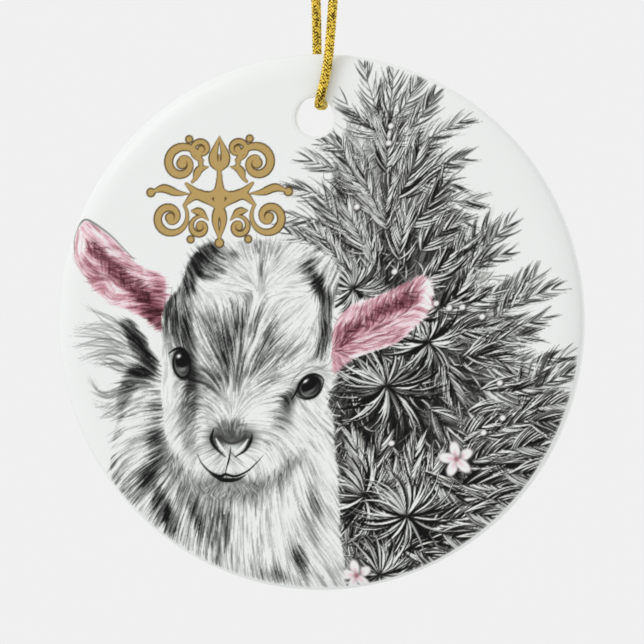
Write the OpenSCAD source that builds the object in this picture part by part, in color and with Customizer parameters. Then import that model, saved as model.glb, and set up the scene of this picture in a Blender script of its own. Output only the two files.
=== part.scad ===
// Round glazed ceramic ornament with a picture on its front, hung on a braided cord.
// Millimetres. +Z is up and the picture looks along -Y.
// The origin is the hang point: the inside of the cord loop, just under its knot.
// The cord runs down in front of the disc, back through the hole and up behind it.

/* [Disc] */
// Diameter of the ceramic disc
disc_d = 73; // [60:1:90]
// Thickness of the ceramic disc
disc_t = 4; // [3:0.25:4]
// Width of the soft shoulder that rounds the front face off
front_shoulder_w = 3.6; // [1:0.1:5]
// Depth of that shoulder
front_shoulder_h = 1.5; // [0.5:0.1:1.6]
// Width of the smaller rounding round the back face
back_shoulder_w = 1.4; // [0.5:0.1:3]
// Depth of that rounding
back_shoulder_h = 0.9; // [0.3:0.1:1.2]

/* [Hole] */
// Diameter of the hole that the cord runs through, just behind its front mouth
hole_d = 5.3; // [5:0.1:6]
// How much the hole's radius grows towards the back, where the mould's pin is drawn out
hole_draft = 0.55; // [0:0.05:0.6]
// Distance from the hole's centre to the disc's rim
hole_inset = 8.62; // [7:0.02:12]
// How far the hole sits to the side of the plumb line
hole_side = -0.1; // [-0.6:0.1:0]
// Rounding of the hole's two mouths
hole_round = 0.2; // [0.2:0.1:0.6]

/* [Picture] */
// Thickness of the printed coat on the front face
coat_t = 0.04; // [0.02:0.01:0.08]
// Clear ring left between the picture and the mouth of the hole
coat_gap = 0.2; // [0.1:0.1:1]
// How far round the front shoulder the coat runs, in degrees up from the side
coat_end = 24; // [10:1:60]

/* [Cord] */
// Diameter of the braided cord
cord_d = 1.3; // [1:0.1:1.3]
// Gap between the part of the cord that turns and the part that stays
twist_gap = 0.2; // [0.1:0.1:0.4]

/* [Knot] */
// Widest diameter of the knot
knot_d = 7.6; // [6:0.2:9]
// Diameter of the knot's flat ends
knot_end_d = 3.2; // [3:0.1:4]

/* [Hidden] */

fine = 128;            // segments round the disc
small = 48;            // segments round the hole and the knot
cord_sides = 8;
arc_steps = 9;         // steps in each rounding

disc_r = disc_d / 2;
hole_r = hole_d / 2;
hole_z = -58.12;        // height of the hole's centre below the hang point
disc_z = hole_z - (disc_r - hole_inset);

knot_bottom = 1.5;
knot_top = 9.5;
twist_z = -40;         // height at which the turning part of the cord begins

// The cord's route, from the knot down the front strand.
front_upper = [
    [0.75, 0, 1.5], [1.1, 0, -0.2], [1.72, 0, -2.2], [2.19, -0.05, -5], [2.56, -0.15, -9],
    [2.84, -0.3, -13], [3.02, -0.5, -17], [3.1, -0.7, -21], [3.13, -0.95, -25],
    [3.11, -1.25, -29], [3.03, -1.6, -33], [2.91, -1.95, -36.5], [2.73, -2.25, -40]
];
front_lower = [
    [2.73, -2.25, -40], [2.6, -2.5, -42.5], [2.47, -2.75, -45], [2.29, -2.85, -47.5],
    [2.06, -2.85, -50], [1.67, -2.85, -52.5]
];
// Round the mouth of the hole, through it on a slant, and round the other mouth.
bight = [
    [1.14, -2.9, -54.7], [0.94, -2.8, -55.45], [0.75, -2.52, -56.1], [0.58, -1.95, -56.43],
    [0.45, -1.2, -56.45], [0.35, 1.2, -56.4], [0.3, 1.9, -56.3], [0.1, 2.45, -55.95],
    [-0.11, 2.8, -55.4], [-0.36, 2.85, -54.7]
];
// Up the back strand to the knot.
back_lower = [
    [-0.58, 2.85, -52.5], [-0.69, 2.85, -50], [-0.76, 2.85, -47.5], [-0.78, 2.75, -45],
    [-0.8, 2.5, -42.5], [-0.92, 2.25, -40]
];
back_upper = [
    [-0.92, 2.25, -40], [-1.19, 1.95, -36.5], [-1.52, 1.6, -33], [-1.89, 1.25, -29],
    [-2.17, 0.95, -25], [-2.35, 0.7, -21], [-2.48, 0.5, -17], [-2.46, 0.3, -13],
    [-2.34, 0.15, -9], [-2.06, 0.05, -5], [-1.68, 0, -2.2], [-1.1, 0, -0.2], [-0.75, 0, 1.5]
];
// The two free ends above the knot.
front_tail = [
    [0.75, 0, knot_top], [1.15, -0.2, 11.2], [2.3, -0.5, 12.6], [3.9, -0.9, 13.2],
    [5.5, -1.2, 12.9], [6.9, -1.4, 12]
];
back_tail = [
    [-0.75, 0, knot_top], [-1, 0.25, 11.4], [-1.9, 0.6, 13], [-3.4, 1, 13.9],
    [-5.1, 1.3, 13.8], [-6.7, 1.5, 13.1]
];

// Lathed shapes are turned about Z, and this stands them up as the disc stands.
module on_disc(side = 0, up = 0) {
    translate([side, 0, disc_z + up]) rotate([90, 0, 0]) children();
}

// Height of the disc's surface on the front shoulder, a degrees round from the side.
function front_point(a) = [
    disc_r - front_shoulder_w + front_shoulder_w * cos(a),
    disc_t / 2 - front_shoulder_h + front_shoulder_h * sin(a)
];
function back_point(a) = [
    disc_r - back_shoulder_w + back_shoulder_w * cos(a),
    -disc_t / 2 + back_shoulder_h - back_shoulder_h * sin(a)
];

module disc_blank() {
    outline = concat(
        [[0, -disc_t / 2]],
        [for (i = [0 : arc_steps]) back_point(90 - i * 90 / arc_steps)],
        [for (i = [0 : arc_steps]) front_point(i * 90 / arc_steps)],
        [[0, disc_t / 2]]
    );
    rotate_extrude($fn = fine) polygon(outline);
}

// One rounded mouth of the hole, for a hole of radius r, from the wall out to the face.
function mouth(r) = [for (i = [0 : arc_steps]) let (a = i * 90 / arc_steps) [
    r + hole_round - hole_round * cos(a), disc_t / 2 - hole_round + hole_round * sin(a)
]];

// The hole with its two rounded mouths, as a tool that is taken away.
module hole_tool() {
    front = mouth(hole_r);
    back = mouth(hole_r + hole_draft);
    far = hole_r + hole_draft + 2 * hole_round;
    outline = concat(
        [[0, -disc_t], [far, -disc_t]],
        [for (i = [arc_steps : -1 : 0]) [back[i][0], -back[i][1]]],
        front,
        [[far, disc_t], [0, disc_t]]
    );
    rotate_extrude($fn = small) polygon(outline);
}

module ceramic_disc() {
    color("whitesmoke") difference() {
        on_disc() disc_blank();
        on_disc(hole_side, disc_r - hole_inset) hole_tool();
    }
}

// A thin coat that follows the front face and its shoulder.
module picture_print() {
    under = [for (i = [0 : arc_steps]) let (a = i * 90 / arc_steps) if (a > coat_end) front_point(a)];
    // The lowest point lies on the straight piece of the lathed surface that holds coat_end.
    low = floor(coat_end * arc_steps / 90) * 90 / arc_steps;
    share = (coat_end - low) * arc_steps / 90;
    rim = front_point(low) * (1 - share) + front_point(low + 90 / arc_steps) * share;
    skin = concat([rim], under, [[0, disc_t / 2]]);
    outline = concat(skin, [for (i = [len(skin) - 1 : -1 : 0]) skin[i] + [0, coat_t]]);
    color("gainsboro") difference() {
        on_disc() rotate_extrude($fn = fine) polygon(outline);
        on_disc(hole_side, disc_r - hole_inset)
            cylinder(h = 2 * disc_t, r = hole_r + hole_round + coat_gap, $fn = small);
    }
}

function unit(v) = v / norm(v);
// The way the cord runs at point i. Its two ends are cut level, so they face straight up or down.
function heading(route, i) =
    i == 0 ? [0, 0, sign(route[1][2] - route[0][2])] :
    i == len(route) - 1 ? [0, 0, sign(route[i][2] - route[i - 1][2])] :
    unit(route[i + 1] - route[i - 1]);

// One ring of the tube, square to the cord's heading t.
function ring(centre, t) =
    let (u = unit([1, 0, 0] - t * t[0]), v = cross(t, u))
    [for (k = [0 : cord_sides - 1]) let (a = (k + 0.5) * 360 / cord_sides)
        centre + cord_d / 2 * (cos(a) * u + sin(a) * v)];

// A tube of cord along a route. free_end leaves its last ring square to the cord.
module tube(route, free_end = false) {
    last = len(route) - 1;
    points = [for (i = [0 : last]) each ring(
        route[i],
        free_end && i == last ? unit(route[last] - route[last - 1]) : heading(route, i)
    )];
    walls = [for (i = [0 : last - 1], k = [0 : cord_sides - 1]) let (
        a = i * cord_sides + k, b = i * cord_sides + (k + 1) % cord_sides
    ) each [[a, b, b + cord_sides], [a, b + cord_sides, a + cord_sides]]];
    near_cap = [for (k = [cord_sides - 1 : -1 : 0]) k];
    far_cap = [for (k = [0 : cord_sides - 1]) last * cord_sides + k];
    // Faces run clockwise seen from outside.
    polyhedron(points, [for (f = concat(walls, [near_cap, far_cap])) [for (k = [len(f) - 1 : -1 : 0]) f[k]]]);
}

// Lifts or drops one end of a route, to leave the gap at the twist.
function moved_first(route, dz) = [for (i = [0 : len(route) - 1]) i == 0 ? route[i] + [0, 0, dz] : route[i]];
function moved_last(route, dz) = [
    for (i = [0 : len(route) - 1]) i == len(route) - 1 ? route[i] + [0, 0, dz] : route[i]
];

// The part of the cord that turns with the disc: down, through the hole and up again.
module lower_cord() {
    route = moved_last(
        moved_first(concat(front_lower, bight, back_lower), -twist_gap / 2), -twist_gap / 2
    );
    color("goldenrod") tube(route);
}

// The two strands between the turning part and the knot.
module upper_cord() {
    color("goldenrod") {
        tube(moved_last(front_upper, twist_gap / 2));
        tube(moved_first(back_upper, twist_gap / 2));
    }
}

// The outer shape of the overhand knot that ties both strands together.
module cord_knot() {
    knot_h = knot_top - knot_bottom;
    knot_steps = 12;
    side = [for (i = [0 : knot_steps]) let (a = i * 180 / knot_steps) [
        knot_end_d / 2 + (knot_d - knot_end_d) / 2 * sin(a), knot_bottom + knot_h * (1 - cos(a)) / 2
    ]];
    color("goldenrod") rotate_extrude($fn = small)
        polygon(concat([[0, knot_bottom]], side, [[0, knot_top]]));
}

module cord_tails() {
    color("goldenrod") {
        tube(front_tail, free_end = true);
        tube(back_tail, free_end = true);
    }
}

ceramic_disc();
picture_print();
lower_cord();
upper_cord();
cord_knot();
cord_tails();
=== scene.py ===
import math

import bpy
import numpy as np
from bpy.props import FloatProperty, FloatVectorProperty, IntProperty, PointerProperty
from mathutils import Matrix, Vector


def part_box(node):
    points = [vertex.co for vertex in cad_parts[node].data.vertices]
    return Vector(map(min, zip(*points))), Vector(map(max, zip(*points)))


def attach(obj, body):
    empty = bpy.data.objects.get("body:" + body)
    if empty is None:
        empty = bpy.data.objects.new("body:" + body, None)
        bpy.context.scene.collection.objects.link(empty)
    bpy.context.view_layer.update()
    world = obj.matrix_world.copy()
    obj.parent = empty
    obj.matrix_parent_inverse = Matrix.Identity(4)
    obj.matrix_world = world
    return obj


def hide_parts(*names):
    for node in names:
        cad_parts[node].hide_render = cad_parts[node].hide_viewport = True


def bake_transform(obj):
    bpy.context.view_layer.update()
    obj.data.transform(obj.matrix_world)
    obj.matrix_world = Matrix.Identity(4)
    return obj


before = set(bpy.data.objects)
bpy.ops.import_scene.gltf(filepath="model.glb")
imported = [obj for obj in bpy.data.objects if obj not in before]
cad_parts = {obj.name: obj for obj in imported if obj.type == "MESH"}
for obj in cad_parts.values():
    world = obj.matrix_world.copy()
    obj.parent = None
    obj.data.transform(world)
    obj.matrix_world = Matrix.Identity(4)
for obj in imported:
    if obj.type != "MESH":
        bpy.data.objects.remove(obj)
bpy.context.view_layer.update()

bl_info = {
    "name": "Ceramic Ornament on a Braided Cord",
    "version": (1, 0, 0),
    "blender": (4, 5, 0),
    "location": "3D View > Sidebar > Ornament",
    "description": "A round glazed ornament with a printed kid and fir, hung on a gold cord",
    "category": "Add Mesh",
}

MM = 0.001
FACE_LOW, FACE_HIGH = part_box("ceramic_disc")
DISC_R = (FACE_HIGH.x - FACE_LOW.x) / 2
DISC_T = FACE_HIGH.y - FACE_LOW.y
DISC_Z = (FACE_HIGH.z + FACE_LOW.z) / 2
HOLE = Vector((-0.1 * MM, 0, -58.12 * MM))
FLAT_RINGS = (0, 0.3, 0.6, 0.85)  # Rings on the flat of each face, as shares of the disc's radius.
CORE_SHARE = 0.60                 # Radius of the cord's dark core against the cord's own.

# The cord's route in millimetres, from the knot down the front, through the hole and up the back.
CORD_ROUTE = [
    (1.1, 0, -0.2), (1.72, 0, -2.2), (2.19, -0.05, -5), (2.56, -0.15, -9), (2.84, -0.3, -13),
    (3.02, -0.5, -17), (3.1, -0.7, -21), (3.13, -0.95, -25), (3.11, -1.25, -29),
    (3.03, -1.6, -33), (2.91, -1.95, -36.5), (2.73, -2.25, -40), (2.6, -2.5, -42.5),
    (2.47, -2.75, -45), (2.29, -2.85, -47.5), (2.06, -2.85, -50), (1.67, -2.85, -52.5),
    (1.14, -2.9, -54.7), (0.94, -2.8, -55.45), (0.75, -2.52, -56.1), (0.58, -1.95, -56.43),
    (0.45, -1.2, -56.45), (0.35, 1.2, -56.4), (0.3, 1.9, -56.3), (0.1, 2.45, -55.95),
    (-0.11, 2.8, -55.4), (-0.36, 2.85, -54.7), (-0.58, 2.85, -52.5), (-0.69, 2.85, -50),
    (-0.76, 2.85, -47.5), (-0.78, 2.75, -45), (-0.8, 2.5, -42.5), (-0.92, 2.25, -40),
    (-1.19, 1.95, -36.5), (-1.52, 1.6, -33), (-1.89, 1.25, -29), (-2.17, 0.95, -25),
    (-2.35, 0.7, -21), (-2.48, 0.5, -17), (-2.46, 0.3, -13), (-2.34, 0.15, -9),
    (-2.06, 0.05, -5), (-1.68, 0, -2.2), (-1.1, 0, -0.2),
]
FRONT_TAIL = [(1.15, -0.2, 11.2), (2.3, -0.5, 12.6), (3.9, -0.9, 13.2), (5.5, -1.2, 12.9), (6.9, -1.4, 12)]
BACK_TAIL = [(-1, 0.25, 11.4), (-1.9, 0.6, 13), (-3.4, 1, 13.9), (-5.1, 1.3, 13.8), (-6.7, 1.5, 13.1)]


# ---------------------------------------------------------------- settings
class CordSettings(bpy.types.PropertyGroup):
    diameter: FloatProperty(
        name="Diameter", description="Diameter of the braided cord", default=1.3 * MM, unit="LENGTH")
    strands: IntProperty(
        name="Strands", description="Number of strands in the braid", default=16, min=8, max=24)
    lay: FloatProperty(
        name="Lay", description="Length of cord in which a strand goes round once",
        default=3.6 * MM, unit="LENGTH")
    bright: FloatVectorProperty(
        name="Bright gold", description="Colour of the strands where they catch the light",
        subtype="COLOR", size=3, default=(0.86, 0.61, 0.08))
    # Painted shade: deep gold is what the strands turn where they dive under and along their edges. The
    # melted tips are this colour too.
    deep: FloatVectorProperty(
        name="Deep gold", description="Colour of the strands where they are worn dull",
        subtype="COLOR", size=3, default=(0.40, 0.25, 0.02))
    # Painted shade: the core is near black so that the gaps between the strands read as shade.
    core: FloatVectorProperty(
        name="Core", description="Colour of the dark core between the strands",
        subtype="COLOR", size=3, default=(0.055, 0.035, 0.008))


class DiscSettings(bpy.types.PropertyGroup):
    glaze: FloatVectorProperty(
        name="Glaze", description="Colour of the white glaze", subtype="COLOR", size=3,
        default=(0.82, 0.84, 0.825))
    front_shoulder: FloatVectorProperty(
        name="Front shoulder", description="Width and depth of the front face's soft shoulder",
        size=2, unit="LENGTH", default=(3.6 * MM, 1.5 * MM))
    back_shoulder: FloatVectorProperty(
        name="Back shoulder", description="Width and depth of the back face's rounding",
        size=2, unit="LENGTH", default=(1.4 * MM, 0.9 * MM))
    hole_radius: FloatProperty(
        name="Hole radius", description="Radius of the hole behind its front mouth",
        default=2.65 * MM, unit="LENGTH")
    hole_draft: FloatProperty(
        name="Draft", description="How much the hole's radius grows towards the back",
        default=0.55 * MM, unit="LENGTH")
    hole_round: FloatProperty(
        name="Mouth rounding", description="Rounding of the hole's mouths", default=0.2 * MM, unit="LENGTH")
    segments: IntProperty(name="Segments", description="Steps round the disc", default=256, min=64)


class PictureSettings(bpy.types.PropertyGroup):
    lift: FloatProperty(
        name="Coat thickness", description="How far the printed coat stands on the glaze",
        default=0.02 * MM, unit="LENGTH")
    radius: FloatProperty(
        name="Picture radius", description="Radius of the printed coat", default=36.15 * MM, unit="LENGTH")
    hole_radius: FloatProperty(
        name="Clear radius", description="Radius left clear round the hole",
        default=3.05 * MM, unit="LENGTH")
    seed: IntProperty(name="Seed", description="Changes how single hairs and needles fall", default=7)


class StageSettings(bpy.types.PropertyGroup):
    distance: FloatProperty(
        name="Camera distance", description="From the camera to the disc", default=0.5, unit="LENGTH")
    azimuth: FloatProperty(
        name="Camera azimuth", description="How far the camera stands to the side",
        default=math.radians(12), subtype="ANGLE")
    view_height: FloatProperty(
        name="View height", description="Height that the camera sees at the disc",
        default=87.8 * MM, unit="LENGTH")
    key: FloatProperty(
        name="Key light", description="Power of the soft light at the upper left", default=3.0)
    sky: FloatProperty(name="Surround", description="Brightness of the pale surround", default=0.871)
    bright: FloatProperty(
        name="Bright side", description="Brightness of the surround at the upper left", default=1.01)
    dim: FloatProperty(
        name="Dim side", description="Brightness of the surround at the lower right", default=0.73)
    aim: FloatVectorProperty(
        name="Aim", description="Where the camera looks, to the side of and above the disc's centre",
        size=2, unit="LENGTH", default=(0.55 * MM, 0))


# ---------------------------------------------------------------- modelling helpers
def deselect():
    if bpy.context.object and bpy.context.object.mode != "OBJECT":
        bpy.ops.object.mode_set(mode="OBJECT")
    bpy.ops.object.select_all(action="DESELECT")


def pick(obj):
    deselect()
    obj.select_set(True)
    bpy.context.view_layer.objects.active = obj


def settle(obj):
    """Moves the object's place into its mesh."""
    pick(obj)
    bpy.ops.object.transform_apply(location=True, rotation=True, scale=True)


def apply(obj, kind, name, **values):
    """Adds a modifier, sets it and applies it."""
    pick(obj)
    mod = obj.modifiers.new(name, kind)
    for key, value in values.items():
        setattr(mod, key, value)
    bpy.ops.object.modifier_apply(modifier=mod.name)


def lathe(name, profile, segments):
    """Draws a profile of (radius, height) points and spins it about the Y axis; height is to the front."""
    deselect()
    bpy.ops.mesh.primitive_plane_add(size=2 * MM)
    obj = bpy.context.object
    obj.name = name
    bpy.ops.object.mode_set(mode="EDIT")
    bpy.ops.mesh.select_all(action="SELECT")
    bpy.ops.mesh.merge(type="CENTER")
    at = (0.0, 0.0)
    bpy.ops.transform.translate(value=(profile[0][0], -profile[0][1], 0))
    at = profile[0]
    for point in profile[1:]:
        bpy.ops.mesh.extrude_region_move(
            TRANSFORM_OT_translate={"value": (point[0] - at[0], at[1] - point[1], 0)})
        at = point
    bpy.ops.mesh.select_all(action="SELECT")
    bpy.ops.mesh.spin(steps=segments, angle=math.tau, center=(0, 0, 0), axis=(0, 1, 0))
    bpy.ops.mesh.select_all(action="SELECT")
    bpy.ops.mesh.remove_doubles(threshold=1e-6)
    bpy.ops.mesh.normals_make_consistent(inside=False)
    bpy.ops.object.mode_set(mode="OBJECT")
    return obj


def mesh_piece(name, points, faces, material_index=None):
    """A piece from vertices and faces, for shapes that no primitive starts."""
    mesh = bpy.data.meshes.new(name)
    mesh.from_pydata([tuple(p) for p in points], [], faces)
    if material_index is not None:
        mesh.polygons.foreach_set("material_index", material_index)
    mesh.update()
    obj = bpy.data.objects.new(name, mesh)
    bpy.context.scene.collection.objects.link(obj)
    return obj


class Nodes:
    """Short hand for building a material's node tree."""

    def __init__(self, name):
        self.material = bpy.data.materials.new(name)
        self.material.use_nodes = True
        self.tree = self.material.node_tree
        self.shader = self.tree.nodes["Principled BSDF"]

    def add(self, kind, inputs=None, **values):
        node = self.tree.nodes.new(kind)
        for key, value in values.items():
            setattr(node, key, value)
        for key, value in (inputs or {}).items():
            if isinstance(value, bpy.types.NodeSocket):
                self.tree.links.new(value, node.inputs[key])
            else:
                node.inputs[key].default_value = value
        return node

    def link(self, socket, key):
        self.tree.links.new(socket, self.shader.inputs[key])

    def set(self, **values):
        for key, value in values.items():
            self.shader.inputs[key.replace("_", " ")].default_value = value


def glaze_material(name, gloss, colour=None):
    """Clear glaze with a slow unevenness and a very slight waviness, over a colour or over the print."""
    n = Nodes(name)
    place = n.add("ShaderNodeTexCoord").outputs["Object"]
    slow = n.add("ShaderNodeTexNoise", {"Vector": place, "Scale": 60.0, "Detail": 2.0, "Roughness": 0.5})
    fine = n.add("ShaderNodeTexNoise", {"Vector": place, "Scale": 900.0, "Detail": 2.0, "Roughness": 0.5})
    rough = n.add("ShaderNodeMapRange", {
        "Value": slow.outputs["Fac"], "From Min": 0.3, "From Max": 0.7, "To Min": 0.16, "To Max": 0.22})
    bump = n.add("ShaderNodeBump", {"Height": slow.outputs["Fac"], "Strength": 0.12, "Distance": 0.0006})
    bump = n.add("ShaderNodeBump", {
        "Height": fine.outputs["Fac"], "Normal": bump.outputs["Normal"],
        "Strength": 0.05, "Distance": 0.00004})
    n.link(rough.outputs["Result"], "Roughness")
    n.link(bump.outputs["Normal"], "Normal")
    n.set(Specular_IOR_Level=gloss, Coat_Weight=gloss / 3, Coat_Roughness=0.06, Coat_IOR=1.5)
    if colour is None:
        tint = n.add("ShaderNodeAttribute", attribute_name="print")
        n.link(tint.outputs["Color"], "Base Color")
    else:
        shade = n.add("ShaderNodeMixRGB", {
            "Fac": slow.outputs["Fac"], "Color1": (*colour, 1), "Color2": (*[c * 0.98 for c in colour], 1)})
        n.link(shade.outputs["Color"], "Base Color")
    return n.material


def yarn_material(name, bright, deep):
    """Metallised yarn: painted highlight on top of each strand, painted shade where it dives under and
    along its edges, with random tone and painted glints.
    """
    n = Nodes(name)
    place = n.add("ShaderNodeTexCoord").outputs["Object"]
    painted_shine_and_shade = n.add("ShaderNodeAttribute", attribute_name="painted_shine_and_shade").outputs["Fac"]
    # One noise gives the yarn random tone with painted glints and painted dark spots, and also its bump.
    patch = n.add("ShaderNodeTexNoise", {"Vector": place, "Scale": 2300.0, "Detail": 1.0, "Roughness": 0.7})
    vary = n.add("ShaderNodeMapRange", {
        "Value": patch.outputs["Fac"], "From Min": 0.38, "From Max": 0.62, "To Min": -0.42, "To Max": 0.38})
    both = n.add("ShaderNodeMath", {0: painted_shine_and_shade, 1: vary.outputs["Result"]}, operation="ADD")
    # The darkest stop is painted deep shade and the brightest a painted glint, lighter than the bright
    # gold.
    ramp = n.add("ShaderNodeValToRGB", {"Fac": both.outputs[0]})
    low, high = ramp.color_ramp.elements
    low.position, low.color = 0.08, (*[c * 0.22 for c in deep], 1)
    high.position, high.color = 0.95, (*[min(1, c * 1.25) for c in bright], 1)
    for at, colour in ((0.38, deep), (0.66, bright)):
        ramp.color_ramp.elements.new(at).color = (*colour, 1)
    n.link(ramp.outputs["Color"], "Base Color")
    bump = n.add("ShaderNodeBump", {"Height": patch.outputs["Fac"], "Strength": 0.4, "Distance": 0.00005})
    n.link(bump.outputs["Normal"], "Normal")
    n.set(Metallic=0.45, Roughness=0.30, Specular_IOR_Level=0.5)
    return n.material


def plain_material(name, colour, roughness, metallic=0.0):
    n = Nodes(name)
    n.set(Base_Color=(*colour, 1), Roughness=roughness, Metallic=metallic)
    return n.material


# ---------------------------------------------------------------- lines
def curve_through(points, per=8, closed=False):
    """A smooth line through the points."""
    p = np.asarray(points, float)
    ends = (p[-1:], p[:2]) if closed else (2 * p[:1] - p[1:2], 2 * p[-1:] - p[-2:-1])
    p = np.vstack([ends[0], p, ends[1]])
    t = np.linspace(0, 1, per, endpoint=False)[:, None]
    out = [0.5 * (2 * b + (c - a) * t + (2 * a - 5 * b + 4 * c - d) * t**2 + (3 * b - a - 3 * c + d) * t**3)
           for a, b, c, d in zip(p[:-3], p[1:-2], p[2:-1], p[3:])]
    out = np.vstack(out)
    return out if closed else np.vstack([out, p[-2:-1]])


def even_steps(line, step):
    """The same line with points a fixed step apart."""
    run = np.r_[0, np.cumsum(np.linalg.norm(np.diff(line, axis=0), axis=1))]
    count = max(2, int(round(run[-1] / step)) + 1)
    at = np.linspace(0, run[-1], count)
    return np.stack([np.interp(at, run, line[:, k]) for k in range(3)], 1), at


def side_vectors(line):
    """Two vectors square to the line at each point, that turn as little as they can."""
    along = np.gradient(line, axis=0)
    along /= np.linalg.norm(along, axis=1, keepdims=True)
    u = np.cross(along[0], (0.3, 0.9, 0.1))
    side = []
    for t in along:
        u = u - t * u.dot(t)
        u /= np.linalg.norm(u)
        side.append(u)
    side = np.array(side)
    return side, np.cross(along, side)


def tie_knot(gap, bottom, top, rounds=170):
    """Both strands of an overhand knot, drawn up until the cords rest on each other. Millimetres."""
    t = np.linspace(-2.15, 2.15, 104)
    one = np.stack([2.6 * (t**3 - 3 * t), 2.4 * (t**4 - 4 * t**2 + 1.9), 0.62 * (t**5 - 10 * t) + 5.5], 1)
    side, other = side_vectors(one)
    first, last = (math.atan2(other[k][0], side[k][0]) for k in (0, -1))
    angle = np.linspace(first, last, len(t))
    shift = side * np.cos(angle)[:, None] + other * np.sin(angle)[:, None]
    p = np.concatenate([one + 0.75 * shift, one - 0.75 * shift])
    n = len(t)
    goal = np.array([[0.75, 0, bottom], [0.75, 0, top], [-0.75, 0, bottom], [-0.75, 0, top]])
    pins = [0, n - 1, n, 2 * n - 1]
    begin = p[pins].copy()
    strand, index = np.repeat([0, 1], n), np.tile(np.arange(n), 2)
    for k in range(rounds):
        p[pins] = begin + (goal - begin) * min(1, k / (rounds * 0.7))
        for q in (p[:n], p[n:]):
            q[1:-1] += 0.45 * ((q[:-2] + q[2:]) / 2 - q[1:-1])
            q[1] = q[0] + [0, 0, np.linalg.norm(q[1] - q[0])]
            q[-2] = q[-1] - [0, 0, np.linalg.norm(q[-1] - q[-2])]
        step = np.linalg.norm(np.diff(p[:n], axis=0), axis=1).mean()
        near = (strand[:, None] == strand) & (np.abs(index[:, None] - index) * step < 2.2 * gap)
        for _ in range(3):
            apart = p[:, None] - p
            far = np.linalg.norm(apart, axis=2) + 1e-9
            push = np.where(near | (far > gap), 0, (gap - far) / 2) / far
            move = (apart * push[..., None]).sum(1) * 0.6
            move *= np.minimum(1, 0.3 / np.maximum(np.linalg.norm(move, axis=1, keepdims=True), 1e-9))
            move[pins] = 0
            p += move
    return p[:n], p[n:]


def cord_line(knot_bottom=1.5, knot_top=9.5):
    """The cord's middle line from one tip to the other, in millimetres."""
    right, left = tie_knot(1.38, knot_bottom, knot_top)
    parts = [np.array(FRONT_TAIL[::-1]), right[::-4], np.array(CORD_ROUTE), left[::4], np.array(BACK_TAIL)]
    line, _ = even_steps(curve_through(np.vstack(parts), 10), 0.1125)
    # Slack in the limp cord rounds off the bends where it enters and leaves the knot.
    soft = line.copy()
    for _ in range(160):
        soft[1:-1] += 0.5 * ((soft[:-2] + soft[2:]) / 2 - soft[1:-1])
    low = np.clip((line[:, 2:] + 8) / 6, 0, 1)
    return even_steps(line + (soft - line) * low, 0.1125)


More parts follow.
